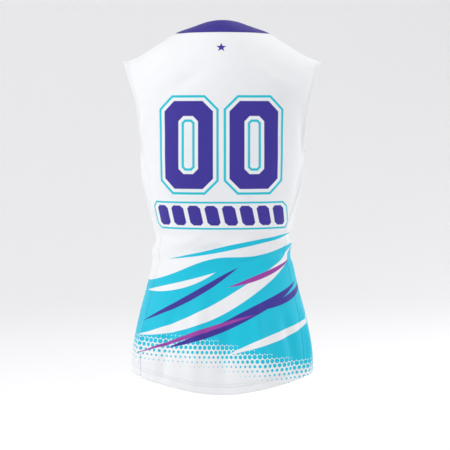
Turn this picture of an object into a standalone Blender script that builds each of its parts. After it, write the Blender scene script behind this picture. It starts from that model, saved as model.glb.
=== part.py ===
"""A sleeveless volleyball jersey in the shape it has when worn, as three sewn pieces of cloth.

The back panel wraps a little round the sides, the front panel wraps round to meet it, and a
neckband closes the neck. The wearer's front faces -Y and the wearer's left is +X. The origin
lies between the shoulder seams, where the wearer carries the jersey. All sizes below are in
millimetres, and the meshes are scaled to metres when they are made.
"""

import math
from collections import namedtuple

import bpy
from mathutils import Vector

# ---------------------------------------------------------------------------
# Sizes
# ---------------------------------------------------------------------------

METRES = 0.001

PANEL_CLOTH = 1.6       # thickness of a panel's knit, with its print
BAND_CLOTH = 2.2        # thickness of the neckband, which is folded double
SEAM_GAP = 0.3          # space between two pieces where they are sewn

# Levels of the three zones of a panel: a closed body up to the underarm, then the lower half
# of the armholes, then the cloth that bends over the shoulders.
HEM_LEVEL = -585
WAIST_LEVEL = -345
UNDERARM_LEVEL = -195
YOKE_LEVEL = -110

# The worn form, a row for each level. width is half of the form's width, middle is where its
# widest point lies along Y, depth runs from there to the back or the front, square is the
# exponent of the section's outline (2 is an ellipse), and seam_turn is how many degrees the
# side seam lies behind the widest point. Above the underarm the widths are those of the form
# with the tops of its arms, so the armholes cut them off.
Section = namedtuple(
    "Section", "name level back_width front_width middle back_depth front_depth square seam_turn")
SECTIONS = (
    Section("hem", HEM_LEVEL, 164, 164, 4, 116, 118, 2.3, 24),
    Section("hip", -545, 161.5, 161.5, 4, 118, 117, 2.3, 24),
    Section("high hip", -485, 150, 150, 2, 109, 110, 2.3, 22),
    Section("flank", -420, 133, 133, -2, 94, 103, 2.3, 21),
    Section("waist", WAIST_LEVEL, 122, 122, -6, 84, 98, 2.25, 20),
    Section("ribs", -285, 134, 134, -5, 94, 109, 2.3, 17),
    Section("chest", -235, 143.5, 143.5, -3, 104, 121, 2.35, 12),
    Section("underarm", UNDERARM_LEVEL, 149, 149, 0, 107, 123, 2.35, 8),
    Section("armhole", -155, 160, 153, 0, 108, 123, 2.2, 8),
    Section("yoke", YOKE_LEVEL, 170, 160, 0, 107, 123, 2.0, 8),
)

# Height of the shoulder line over the half-width, from the neck out to the shoulder's end.
# Inside the neck it is the dome that the yoke would close to if the neck were not cut out.
ShoulderPoint = namedtuple("ShoulderPoint", "half_width height")
SHOULDER_LINE = (
    ShoulderPoint(-84, 18),
    ShoulderPoint(0, 56),
    ShoulderPoint(84, 18),
    ShoulderPoint(115, -1.2),
    ShoulderPoint(148, -21.6),
    ShoulderPoint(165, -28.6),
    ShoulderPoint(177.5, -31),
)
NECK_HALF_WIDTH = 84
NECK_HEIGHT = 18
SHOULDER_HALF_WIDTH = 177.5
ARM_WIDTH = 196         # half-width of the form with its arms, at the shoulder line

# Lower half of each armhole's edge: its height and its turn from the side for a row of cloth
# that starts at this level on the panel's centre line.
ArmholePoint = namedtuple("ArmholePoint", "level edge_level turn")
BACK_ARMHOLE = (
    ArmholePoint(UNDERARM_LEVEL, UNDERARM_LEVEL, 8),
    ArmholePoint(-176, -190.5, 13.5),
    ArmholePoint(-155, -176, 17),
    ArmholePoint(-132, -150, 18),
    ArmholePoint(YOKE_LEVEL, YOKE_LEVEL, 17),
)
FRONT_ARMHOLE = (
    ArmholePoint(UNDERARM_LEVEL, UNDERARM_LEVEL, -8),
    ArmholePoint(-180, -193.5, 2),
    ArmholePoint(-164, -184, 11),
    ArmholePoint(-148, -168, 17),
    ArmholePoint(-130, -144, 19.5),
    ArmholePoint(YOKE_LEVEL, YOKE_LEVEL, 19),
)

# facing is 1 for the back and -1 for the front. bend_level is where the cloth starts to lean
# in towards the shoulder line, and bend_roundness is the exponent of that curve. neck_drop is
# how far the neckline's centre lies below the neck points, and hem_drop how far the hem's
# centre lies below the sides. half_columns and neck_columns count the strips of faces from
# the centre to the panel's edge and to the neck point.
Panel = namedtuple(
    "Panel", "name facing bend_level bend_roundness neck_drop hem_drop armhole "
             "half_columns neck_columns")
BACK = Panel("back_panel", 1, YOKE_LEVEL, 1.8, 0.4, 26, BACK_ARMHOLE, 16, 11)
FRONT = Panel("front_panel", -1, UNDERARM_LEVEL, 1.5, 73, 14, FRONT_ARMHOLE, 20, 14)

BODY_ROWS = 14          # rows of faces from the hem to the underarm
ARMHOLE_ROWS = 5        # from the underarm to the middle of the armhole
YOKE_ROWS = 7           # from there over to the shoulder seam and the neckline

ARMHOLE_SWEEP = 5       # how late a row of cloth turns down to the armhole's edge
YOKE_SPREAD = 1.15      # how early the rows of the yoke widen to the shoulders

# The neckband's free edge, a tilted ring that is high at the nape and low at the throat.
BAND_HALF_WIDTH = 57
BAND_SIDE_HEIGHT = 25
BAND_SIDE_SET = -2      # where the ring's widest point lies along Y
BAND_NAPE_DEPTH = 48
BAND_NAPE_RISE = 14.4
BAND_NAPE_CURVE = 2     # exponent of the rise from the sides to the nape
BAND_THROAT_DEPTH = 64
BAND_THROAT_DROP = 56
BAND_THROAT_CURVE = 1.2
BAND_CROWN = 2.0        # how far the band's middle stands out from a straight slope
BAND_ROWS = 4

SHORT_STEP = 0.002      # step along a panel, in shares and rises, that gives its normal
SAME = 1e-6             # two shares that differ by less than this are the same
SHARP_EDGE = math.radians(50)


# ---------------------------------------------------------------------------
# The worn form
# ---------------------------------------------------------------------------

def smooth_value(places, values, place):
    """Read a table's column between its rows, on a cubic curve through all of them."""
    steps = [b - a for a, b in zip(places, places[1:])]
    rises = [(b - a) / step for a, b, step in zip(values, values[1:], steps)]
    slopes = [rises[0]]
    for before, after, rise_in, rise_out in zip(steps, steps[1:], rises, rises[1:]):
        slopes.append((after * rise_in + before * rise_out) / (before + after))
    slopes.append(rises[-1])
    place = min(max(place, places[0]), places[-1])
    span = 0
    while span < len(steps) - 1 and place > places[span + 1]:
        span += 1
    part = (place - places[span]) / steps[span]
    rest = 1 - part
    return (values[span] * (1 + 2 * part) * rest ** 2
            + values[span + 1] * (3 - 2 * part) * part ** 2
            + steps[span] * part * rest * (slopes[span] * rest - slopes[span + 1] * part))


def section_value(column, level):
    """Read one column of SECTIONS at any level."""
    levels = [row.level for row in SECTIONS]
    values = [getattr(row, column) for row in SECTIONS]
    return smooth_value(levels, values, level)


def armhole_value(panel, column, level):
    """Read one column of the panel's armhole table at any level of its centre line."""
    levels = [row.level for row in panel.armhole]
    values = [getattr(row, column) for row in panel.armhole]
    return smooth_value(levels, values, level)


def shoulder_height(half_width):
    """Height of the shoulder line, or of the dome that it closes to inside the neck."""
    places = [row.half_width for row in SHOULDER_LINE]
    heights = [row.height for row in SHOULDER_LINE]
    return smooth_value(places, heights, half_width)


def panel_width(panel, level):
    """Half of the form's width on this panel's side."""
    return section_value("back_width" if panel.facing > 0 else "front_width", level)


def panel_depth(panel, level):
    """Depth of the form on this panel's side."""
    return section_value("back_depth" if panel.facing > 0 else "front_depth", level)


def body_point(panel, turn, level, drop):
    """Point of the form up to the yoke. turn is 90 degrees at the centre and 0 at the side."""
    far_side = BACK if panel.facing < 0 else FRONT
    depth = panel_depth(panel if turn >= 0 else far_side, level)
    square = section_value("square", level)
    across = (math.cos(turn) / panel_width(panel, level)) ** square
    along = (abs(math.sin(turn)) / depth) ** square
    reach = (across + along) ** (-1 / square)
    x = reach * math.cos(turn)
    lean = 1
    if level > panel.bend_level:
        climb = (level - panel.bend_level) / (shoulder_height(x) - panel.bend_level)
        lean = (1 - climb ** panel.bend_roundness) ** (1 / panel.bend_roundness)
    y = section_value("middle", level) + panel.facing * reach * math.sin(turn) * lean
    return Vector((x, y, level - drop * math.sin(turn) ** 2))


def bend_at(panel, half_width, height):
    """Angle, from 0 to 90 degrees, of a height on the curve that leans in to the shoulder."""
    climb = (height - panel.bend_level) / (shoulder_height(half_width) - panel.bend_level)
    return math.asin(min(1, max(0, climb) ** (panel.bend_roundness / 2)))


def yoke_point(panel, half_width, bend, form_width):
    """Point of the yoke, where the cloth leans in to the shoulder line."""
    power = 2 / panel.bend_roundness
    square = section_value("square", YOKE_LEVEL)
    depth = panel_depth(panel, YOKE_LEVEL)
    depth *= (1 - (half_width / form_width) ** square) ** (1 / square)
    y = panel.facing * depth * max(0, math.cos(bend)) ** power
    rise = (shoulder_height(half_width) - panel.bend_level) * math.sin(bend) ** power
    return Vector((half_width, y, panel.bend_level + rise))


# ---------------------------------------------------------------------------
# Panels
# ---------------------------------------------------------------------------

def hem_fade(level):
    """1 at the hem and 0 from the waist up, for the drop of the hem's curve."""
    return max(0, (WAIST_LEVEL - level) / (WAIST_LEVEL - HEM_LEVEL)) ** 2


def body_row_point(panel, share, level):
    """Point of a row below the underarm. share is 0 at the centre and 1 at the side seam."""
    seam = section_value("seam_turn", level) * panel.facing
    turn = math.radians(90 + (seam - 90) * share)
    return body_point(panel, turn, level, panel.hem_drop * hem_fade(level))


def armhole_row_point(panel, share, level):
    """Point of a row that ends on the lower half of the armhole."""
    edge = armhole_value(panel, "turn", level)
    edge_level = armhole_value(panel, "edge_level", level)
    turn = math.radians(90 + (edge - 90) * share)
    return body_point(panel, turn, level + (edge_level - level) * share ** ARMHOLE_SWEEP, 0)


def neck_share(panel):
    """Share of a row, from the centre to the edge, at which the neck point lies."""
    return panel.neck_columns / panel.half_columns


def top_edge(panel, share):
    """Half-width and height of the panel's top edge: the neckline, then the shoulder seam."""
    neck = neck_share(panel)
    if share <= neck:
        round_neck = math.radians(90) * share / neck
        half_width = NECK_HALF_WIDTH * math.sin(round_neck)
        return half_width, NECK_HEIGHT - panel.neck_drop * math.cos(round_neck)
    along = (share - neck) / (1 - neck)
    half_width = NECK_HALF_WIDTH + (SHOULDER_HALF_WIDTH - NECK_HALF_WIDTH) * along
    return half_width, shoulder_height(half_width)


def yoke_row_point(panel, share, climb):
    """Point of a row of the yoke. climb is 0 at the yoke's start and 1 at the top edge."""
    start = armhole_row_point(panel, share, YOKE_LEVEL)
    end_width, end_height = top_edge(panel, share)
    spread = math.sin(math.radians(90) * climb) ** YOKE_SPREAD
    half_width = start.x + (end_width - start.x) * spread
    start_bend = bend_at(panel, start.x, YOKE_LEVEL)
    end_bend = bend_at(panel, end_width, end_height)
    start_form = panel_width(panel, YOKE_LEVEL)
    form_width = start_form + (ARM_WIDTH - start_form) * climb
    return yoke_point(panel, half_width, start_bend + (end_bend - start_bend) * climb, form_width)


def panel_point(panel, share, rise):
    """Point of a panel. rise is 0 at the hem, 1 at the underarm, 2 at the yoke, 3 at the top."""
    side = abs(share)
    if rise <= 1:
        point = body_row_point(panel, side, HEM_LEVEL + (UNDERARM_LEVEL - HEM_LEVEL) * rise)
    elif rise <= 2:
        level = UNDERARM_LEVEL + (YOKE_LEVEL - UNDERARM_LEVEL) * (rise - 1)
        point = armhole_row_point(panel, side, level)
    else:
        point = yoke_row_point(panel, side, rise - 2)
    return Vector((math.copysign(point.x, share), point.y, point.z))


def panel_normal(panel, share, rise):
    """Direction out of the cloth, from two short steps along it."""
    step = SHORT_STEP
    if rise > 3 - step and abs(share) >= neck_share(panel) - step:
        half_width = abs(panel_point(panel, share, rise).x)
        slope = shoulder_height(half_width + 1) - shoulder_height(half_width - 1)
        return Vector((-slope / 2 * math.copysign(1, share), 0, 1)).normalized()
    rise = min(rise, 3 - 10 * step)
    right, left = min(1, share + step), max(-1, share - step)
    over, under = rise + step, max(0, rise - step)
    across = panel_point(panel, right, rise) - panel_point(panel, left, rise)
    upward = panel_point(panel, share, over) - panel_point(panel, share, under)
    return (upward.cross(across) * panel.facing).normalized()


def rows_of_rises():
    """rise of every row of points, zone by zone."""
    rises = [row / BODY_ROWS for row in range(BODY_ROWS)]
    rises += [1 + row / ARMHOLE_ROWS for row in range(ARMHOLE_ROWS)]
    return rises + [2 + row / YOKE_ROWS for row in range(YOKE_ROWS + 1)]


def shares_of_columns(panel):
    """share of every column of points, from one edge of the panel to the other."""
    half = panel.half_columns
    return [column / half for column in range(-half, half + 1)]


def pulled_in(row, index, normal, inward_sign, closed=False):
    """Move one point of an edge half a seam gap into its piece, square to the edge."""
    last = len(row) - 1
    before = row[index - 1] if index > 0 or closed else row[0]
    after = row[(index + 1) % len(row)] if index < last or closed else row[last]
    inward = normal.cross(after - before).normalized() * inward_sign
    return inward * SEAM_GAP / 2


def make_panel(panel, material):
    """Build one panel as a wall between its outer and its inner grid of points."""
    shares = shares_of_columns(panel)
    rises = rows_of_rises()
    outer = [[panel_point(panel, share, rise) for share in shares] for rise in rises]
    normals = [[panel_normal(panel, share, rise) for share in shares] for rise in rises]
    moves = []
    for row in range(BODY_ROWS + 1):
        for column, sign in ((0, -1), (-1, 1)):
            edge = [points[column] for points in outer]
            pull = pulled_in(edge, row, normals[row][column], sign * panel.facing)
            moves.append((row, column, -pull))
    for column, share in enumerate(shares):
        neck = neck_share(panel)
        if abs(share) < neck + SAME:
            pull = pulled_in(outer[-1], column, normals[-1][column], panel.facing)
            if abs(abs(share) - neck) < SAME:
                pull = Vector((math.copysign(SEAM_GAP / 2, share), 0, 0))
            moves.append((-1, column, pull))
        if abs(share) > neck - SAME:
            moves.append((-1, column, Vector((0, panel.facing * SEAM_GAP / 2, 0))))
    for row, column, move in moves:
        outer[row][column] = outer[row][column] + move
    inner = [[point - normal * PANEL_CLOTH for point, normal in zip(points, directions)]
             for points, directions in zip(outer, normals)]
    return make_wall(panel.name, outer, inner, material, panel.facing < 0)


# ---------------------------------------------------------------------------
# Neckband
# ---------------------------------------------------------------------------

def neckline_ring():
    """Points and directions round the neckline, from the nape over the wearer's left."""
    ring = []
    for panel, order in ((BACK, 1), (FRONT, -1)):
        columns = range(-panel.neck_columns, panel.neck_columns)
        for column in columns:
            share = order * column / panel.half_columns
            ring.append((panel_point(panel, share, 3), panel_normal(panel, share, 3)))
    return ring


def band_edge_point(seam_point):
    """Point of the band's free edge across from a point of the neckline."""
    across = max(-1, min(1, seam_point.x / NECK_HALF_WIDTH))
    along = math.sqrt(1 - across ** 2)
    if seam_point.y > 0:
        depth = BAND_NAPE_DEPTH * along
        rise = BAND_NAPE_RISE * along ** BAND_NAPE_CURVE
    else:
        depth = -BAND_THROAT_DEPTH * along
        rise = -BAND_THROAT_DROP * along ** BAND_THROAT_CURVE
    return Vector((BAND_HALF_WIDTH * across, BAND_SIDE_SET + depth, BAND_SIDE_HEIGHT + rise))


def make_neckband(material):
    """Build the neckband as a closed ring of cloth from the neckline to its free edge."""
    ring = neckline_ring()
    seam = [point for point, normal in ring]
    edge = [band_edge_point(point) for point in seam]
    count = len(ring)
    slopes = []
    for index in range(count):
        along = seam[(index + 1) % count] - seam[index - 1]
        slopes.append((edge[index] - seam[index]).cross(along).normalized())
    outer = []
    inner = []
    for row in range(BAND_ROWS + 1):
        climb = row / BAND_ROWS
        crown = BAND_CROWN * 4 * climb * (1 - climb)
        points = []
        backs = []
        for index in range(count):
            out = ring[index][1].lerp(slopes[index], climb).normalized()
            point = seam[index].lerp(edge[index], climb) + out * crown
            if row == 0:
                point += pulled_in(seam, index, out, -1, closed=True)
            points.append(point)
            backs.append(point - out * BAND_CLOTH)
        outer.append(points)
        inner.append(backs)
    return make_wall("neckband", outer, inner, material, False, closed=True)


# ---------------------------------------------------------------------------
# Meshes and materials
# ---------------------------------------------------------------------------

def make_wall(name, outer, inner, material, flip, closed=False):
    """Join an outer and an inner grid of points into one closed wall of cloth."""
    row_count, column_count = len(outer), len(outer[0])
    points = [point * METRES for grid in (outer, inner) for row in grid for point in row]
    inside = row_count * column_count
    faces = []

    def corner(row, column, layer):
        return layer * inside + row * column_count + column % column_count

    spans = column_count if closed else column_count - 1
    for row in range(row_count - 1):
        for column in range(spans):
            quad = [(row, column), (row, column + 1), (row + 1, column + 1), (row + 1, column)]
            faces.append([corner(*place, 0) for place in reversed(quad)])
            faces.append([corner(*place, 1) for place in quad])
    for column in range(spans):
        low = [(0, column), (0, column + 1)]
        high = [(row_count - 1, column + 1), (row_count - 1, column)]
        for first, second in (low, high):
            faces.append([corner(*first, 0), corner(*second, 0),
                          corner(*second, 1), corner(*first, 1)])
    if not closed:
        last = column_count - 1
        for row in range(row_count - 1):
            left = [(row + 1, 0), (row, 0)]
            right = [(row, last), (row + 1, last)]
            for first, second in (left, right):
                faces.append([corner(*first, 0), corner(*second, 0),
                              corner(*second, 1), corner(*first, 1)])
    if flip:
        faces = [list(reversed(face)) for face in faces]
    mesh = bpy.data.meshes.new(name)
    mesh.from_pydata(points, [], faces)
    mesh.materials.append(material)
    mesh.shade_smooth()
    mesh.set_sharp_from_angle(angle=SHARP_EDGE)
    piece = bpy.data.objects.new(name, mesh)
    garment.objects.link(piece)
    return piece


def cloth_material(name, colour, roughness):
    """Principled material of a matt knit."""
    material = bpy.data.materials.new(name)
    material.use_nodes = True
    shader = material.node_tree.nodes["Principled BSDF"]
    shader.inputs["Base Color"].default_value = (*colour, 1)
    shader.inputs["Roughness"].default_value = roughness
    shader.inputs["Metallic"].default_value = 0
    return material


for old in list(bpy.data.objects):
    bpy.data.objects.remove(old, do_unlink=True)

garment = bpy.data.collections.new("volleyball_jersey")
bpy.context.scene.collection.children.link(garment)

back_knit = cloth_material("white_knit_back", (0.86, 0.86, 0.87), 0.6)
front_knit = cloth_material("white_knit_front", (0.84, 0.85, 0.87), 0.6)
band_knit = cloth_material("purple_knit", (0.065, 0.047, 0.35), 0.55)

make_panel(BACK, back_knit)
make_panel(FRONT, front_knit)
make_neckband(band_knit)
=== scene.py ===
# %% [markdown]
# # A volleyball jersey, dressed
#
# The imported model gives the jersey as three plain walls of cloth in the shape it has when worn:
# a back panel, a front panel and a neckband. This script lays thin knitted cloth on that form,
# turns and folds its edges, presses soft creases into it, prints and stitches it, and lights it
# in a plain pale studio. Work is in millimetres, as on a cutting table, and every mesh is
# scaled to metres when it is made.

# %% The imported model
import math
from collections import namedtuple

import bmesh
import bpy
import numpy as np
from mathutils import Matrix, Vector
from mathutils.bvhtree import BVHTree
from mathutils.kdtree import KDTree


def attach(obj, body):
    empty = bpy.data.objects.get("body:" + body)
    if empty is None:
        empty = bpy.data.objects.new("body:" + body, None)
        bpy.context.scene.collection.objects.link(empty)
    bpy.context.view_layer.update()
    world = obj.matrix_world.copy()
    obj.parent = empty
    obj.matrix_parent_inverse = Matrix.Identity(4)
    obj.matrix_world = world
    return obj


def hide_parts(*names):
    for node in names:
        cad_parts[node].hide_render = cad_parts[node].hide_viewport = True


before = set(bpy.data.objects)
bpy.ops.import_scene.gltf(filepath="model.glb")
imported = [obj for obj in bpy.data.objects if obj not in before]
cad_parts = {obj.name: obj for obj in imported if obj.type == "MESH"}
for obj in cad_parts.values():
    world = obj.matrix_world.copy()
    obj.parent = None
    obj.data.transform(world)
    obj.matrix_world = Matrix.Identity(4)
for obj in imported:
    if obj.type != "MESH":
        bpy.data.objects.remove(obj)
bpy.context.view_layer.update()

METRES = 0.001
print("packed nodes:", sorted(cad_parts))

# %% [markdown]
# ## The camera
#
# The photograph looks at the back of the jersey from a few steps away, a little from above. A
# long lens keeps the sides from bulging. The aim is the point in the middle of the picture.

# %% The camera
PICTURE_WIDTH = 810         # how much the picture spans at the jersey
CAMERA_DISTANCE = 2600
CAMERA_ELEVATION = 4        # degrees above the horizon
CAMERA_AIM = (-4.5, 0, -324)
SENSOR = 36

elevation = math.radians(CAMERA_ELEVATION)
from_aim = Vector((0, math.cos(elevation), math.sin(elevation)))
camera = bpy.data.objects.new("camera", bpy.data.cameras.new("camera"))
camera.data.sensor_width = SENSOR
camera.data.lens = SENSOR * CAMERA_DISTANCE / PICTURE_WIDTH
camera.location = (Vector(CAMERA_AIM) + from_aim * CAMERA_DISTANCE) * METRES
camera.rotation_euler = (-from_aim).to_track_quat("-Z", "Y").to_euler()
bpy.context.scene.collection.objects.link(camera)
bpy.context.scene.camera = camera
print("lens", round(camera.data.lens, 1), "mm")

# %% [markdown]
# ## The studio
#
# A garment this white needs a white room that still leaves soft shade in its folds. One profile
# turned round the jersey makes floor and walls in a single sweep, so no line shows behind the
# cloth from any side. One large lamp on either side of the camera, one beyond the jersey and
# one overhead give the shade.

# %% The studio's sweep
SWEEP_RADIUS = 5200
SWEEP_FLOOR = -820
SWEEP_TOP = 3600
SWEEP_BEND = 2400
SWEEP_STEPS = 16
SWEEP_SIDES = 96        # flat parts that make up the sweep all round


def sweep_profile():
    """Points of the sweep's profile: the floor, a quarter circle and the wall."""
    points = [(0, SWEEP_FLOOR)]
    for step in range(SWEEP_STEPS + 1):
        turn = math.pi / 2 * step / SWEEP_STEPS
        points.append((SWEEP_RADIUS - SWEEP_BEND + SWEEP_BEND * math.sin(turn),
                       SWEEP_FLOOR + SWEEP_BEND - SWEEP_BEND * math.cos(turn)))
    return points + [(SWEEP_RADIUS, SWEEP_TOP)]


profile = sweep_profile()
sweep_mesh = bpy.data.meshes.new("studio_sweep")
sweep_mesh.from_pydata([(x * METRES, 0, z * METRES) for x, z in profile],
                       [(i, i + 1) for i in range(len(profile) - 1)], [])
sweep = bpy.data.objects.new("studio_sweep", sweep_mesh)
bpy.context.scene.collection.objects.link(sweep)
turned = sweep.modifiers.new("turned", "SCREW")
turned.steps = SWEEP_SIDES
turned.render_steps = SWEEP_SIDES
turned.use_smooth_shade = True
turned.use_merge_vertices = True
print("sweep of", len(profile), "points, turned")

# %% The lamps
Lamp = namedtuple("Lamp", "name place size power")
LAMPS = (
    Lamp("key_lamp", (2750, 1150, 1750), 800, 43),
    Lamp("fill_lamp", (-2700, 1500, 1100), 1500, 8),
    Lamp("front_lamp", (-2500, -1400, 1700), 900, 38),
    Lamp("top_lamp", (300, 300, 2700), 1500, 11),
)

for lamp in LAMPS:
    light = bpy.data.lights.new(lamp.name, "AREA")
    light.shape = "DISK"
    light.size = lamp.size * METRES
    light.energy = lamp.power
    holder = bpy.data.objects.new(lamp.name, light)
    holder.location = Vector(lamp.place) * METRES
    to_aim = Vector(CAMERA_AIM) - Vector(lamp.place)
    holder.rotation_euler = to_aim.to_track_quat("-Z", "Y").to_euler()
    bpy.context.scene.collection.objects.link(holder)

WORLD_LIGHT = 0.6
world = bpy.data.worlds.new("studio_air")
world.use_nodes = True
air = world.node_tree.nodes["Background"].inputs
air["Color"].default_value = (1, 1, 1, 1)
air["Strength"].default_value = WORLD_LIGHT
bpy.context.scene.world = world
bpy.context.scene.view_settings.view_transform = "Standard"
print(len(LAMPS), "lamps")

# %% [markdown]
# ## The worn form
#
# The cloth could be draped on a figure by simulation, but the figure isn't part of the jersey
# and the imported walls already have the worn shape. So the same form is worked out here again,
# with the same tables: a superellipse for each level of the body, and a lean in towards the
# shoulder line above it. The tables are read on smooth curves, for whole grids at a time.

# %% Levels and sections
HEM_LEVEL = -585
WAIST_LEVEL = -345
UNDERARM_LEVEL = -195
YOKE_LEVEL = -110

# middle is how far the section lies towards the back, square the power of the superellipse,
# which is 2 for a plain ellipse, and seam_turn the side seam's place in degrees.
Section = namedtuple(
    "Section", "name level back_width front_width middle back_depth front_depth square seam_turn")
SECTIONS = (
    Section("hem", HEM_LEVEL, 164, 164, 4, 116, 118, 2.3, 24),
    Section("hip", -545, 161.5, 161.5, 4, 118, 117, 2.3, 24),
    Section("high hip", -485, 150, 150, 2, 109, 110, 2.3, 22),
    Section("flank", -420, 133, 133, -2, 94, 103, 2.3, 21),
    Section("waist", WAIST_LEVEL, 122, 122, -6, 84, 98, 2.25, 20),
    Section("ribs", -285, 134, 134, -5, 94, 109, 2.3, 17),
    Section("chest", -235, 143.5, 143.5, -3, 104, 121, 2.35, 12),
    Section("underarm", UNDERARM_LEVEL, 149, 149, 0, 107, 123, 2.35, 8),
    Section("armhole", -155, 160, 153, 0, 108, 123, 2.2, 8),
    Section("yoke", YOKE_LEVEL, 170, 160, 0, 107, 123, 2.0, 8),
)
print(len(SECTIONS), "levels from", SECTIONS[0].name, "to", SECTIONS[-1].name)

# %% Shoulders and armholes
NECK_HALF_WIDTH = 84
NECK_HEIGHT = 18
SHOULDER_HALF_WIDTH = 177.5
ARM_WIDTH = 196         # half-width of the form at the top, out past the shoulders

ShoulderPoint = namedtuple("ShoulderPoint", "half_width height")
SHOULDER_LINE = (
    ShoulderPoint(-NECK_HALF_WIDTH, NECK_HEIGHT),
    ShoulderPoint(0, 56),
    ShoulderPoint(NECK_HALF_WIDTH, NECK_HEIGHT),
    ShoulderPoint(115, -1.2),
    ShoulderPoint(148, -21.6),
    ShoulderPoint(165, -28.6),
    ShoulderPoint(SHOULDER_HALF_WIDTH, -31),
)

ArmholePoint = namedtuple("ArmholePoint", "level edge_level turn")
BACK_ARMHOLE = (
    ArmholePoint(UNDERARM_LEVEL, UNDERARM_LEVEL, 8),
    ArmholePoint(-176, -190.5, 13.5),
    ArmholePoint(-155, -176, 17),
    ArmholePoint(-132, -150, 18),
    ArmholePoint(YOKE_LEVEL, YOKE_LEVEL, 17),
)
FRONT_ARMHOLE = (
    ArmholePoint(UNDERARM_LEVEL, UNDERARM_LEVEL, -8),
    ArmholePoint(-180, -193.5, 2),
    ArmholePoint(-164, -184, 11),
    ArmholePoint(-148, -168, 17),
    ArmholePoint(-130, -144, 19.5),
    ArmholePoint(YOKE_LEVEL, YOKE_LEVEL, 19),
)
ARMHOLE_SWEEP = 2       # the higher, the nearer to the armhole a row starts to dip to it
YOKE_SPREAD = 1.15      # the higher, the later the yoke's rows widen to the shoulders
print("shoulders", 2 * SHOULDER_HALF_WIDTH, "mm across, neck", 2 * NECK_HALF_WIDTH, "mm")

# %% The two panels
# facing is 1 for the back. The panel leans in from bend_level up, and neck_share is the
# neckline's part of its top edge.
Panel = namedtuple(
    "Panel", "name facing bend_level bend_roundness neck_drop hem_drop armhole neck_share")
BACK = Panel("back_panel", 1, YOKE_LEVEL, 1.8, 0.4, 26, BACK_ARMHOLE, 11 / 16)
FRONT = Panel("front_panel", -1, UNDERARM_LEVEL, 1.5, 73, 14, FRONT_ARMHOLE, 14 / 20)

# %% Reading the tables


def smooth_value(places, values, place):
    """Read a table's column between its rows, on a cubic curve through all of them."""
    places = np.array(places, float)
    values = np.array(values, float)
    steps = np.diff(places)
    rises = np.diff(values) / steps
    inner = (steps[1:] * rises[:-1] + steps[:-1] * rises[1:]) / (steps[:-1] + steps[1:])
    slopes = np.concatenate([rises[:1], inner, rises[-1:]])
    place = np.clip(place, places[0], places[-1])
    span = np.clip(np.searchsorted(places, place) - 1, 0, len(steps) - 1)
    part = (place - places[span]) / steps[span]
    rest = 1 - part
    return (values[span] * (1 + 2 * part) * rest ** 2
            + values[span + 1] * (3 - 2 * part) * part ** 2
            + steps[span] * part * rest * (slopes[span] * rest - slopes[span + 1] * part))


def table_value(rows, key, column, place):
    """Read one column of a table at any value of its key column."""
    keys = [getattr(row, key) for row in rows]
    return smooth_value(keys, [getattr(row, column) for row in rows], place)


def section_value(column, level):
    """Read one column of SECTIONS at any level."""
    return table_value(SECTIONS, "level", column, level)


def shoulder_height(half_width):
    """Height of the shoulder line, or of the dome that it closes to inside the neck."""
    return table_value(SHOULDER_LINE, "half_width", "height", half_width)


print("waist to hem:", [round(float(section_value("back_width", level)), 1)
                        for level in range(WAIST_LEVEL, HEM_LEVEL - 1, -60)])

# %% Points below the yoke
SIDES = {1: ("back_", "front_"), -1: ("front_", "back_")}


def body_point(panel, turn, level, drop=0):
    """Points of the form up to the yoke. turn is a quarter circle at the centre, 0 at the side."""
    near, far = SIDES[panel.facing]
    depth = np.where(turn >= 0, section_value(near + "depth", level),
                     section_value(far + "depth", level))
    square = section_value("square", level)
    across = (np.abs(np.cos(turn)) / section_value(near + "width", level)) ** square
    along = (np.abs(np.sin(turn)) / depth) ** square
    reach = (across + along) ** (-1 / square)
    x = reach * np.cos(turn)
    climb = np.clip((level - panel.bend_level) / (shoulder_height(x) - panel.bend_level), 0, 1)
    lean = (1 - climb ** panel.bend_roundness) ** (1 / panel.bend_roundness)
    y = section_value("middle", level) + panel.facing * reach * np.sin(turn) * lean
    return np.stack([x, y, level - drop * np.sin(turn) ** 2], axis=-1)


def seam_turn(panel, level):
    """Turn of the side seam on the form, seen from this panel."""
    return np.radians(section_value("seam_turn", level)) * panel.facing


def body_turn(panel, side, level):
    """Turn of a place in a row below the underarm."""
    return np.pi / 2 + (seam_turn(panel, level) - np.pi / 2) * side


def body_rows(panel, side, level):
    """Rows below the underarm. side is 0 at the centre and 1 at the side seam."""
    fade = np.clip((WAIST_LEVEL - level) / (WAIST_LEVEL - HEM_LEVEL), 0, 1) ** 2
    return body_point(panel, body_turn(panel, side, level), level, panel.hem_drop * fade)


def armhole_place(panel, side, level):
    """Turn and level of a place in a row that ends on the armhole."""
    edge_turn = np.radians(table_value(panel.armhole, "level", "turn", level))
    edge_level = table_value(panel.armhole, "level", "edge_level", level)
    turn = np.pi / 2 + (edge_turn - np.pi / 2) * side
    return turn, level + (edge_level - level) * side ** ARMHOLE_SWEEP


def armhole_rows(panel, side, level):
    """Rows that end on the lower half of the armhole."""
    return body_point(panel, *armhole_place(panel, side, level))


print("back's side seam at the waist:", body_rows(BACK, 1, float(WAIST_LEVEL)).round(1))

# %% Points of the yoke


def bend_at(panel, half_width, height):
    """Angle of a height on the curve that leans in to the shoulder line."""
    climb = (height - panel.bend_level) / (shoulder_height(half_width) - panel.bend_level)
    return np.arcsin(np.clip(climb, 0, 1) ** (panel.bend_roundness / 2))


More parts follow.
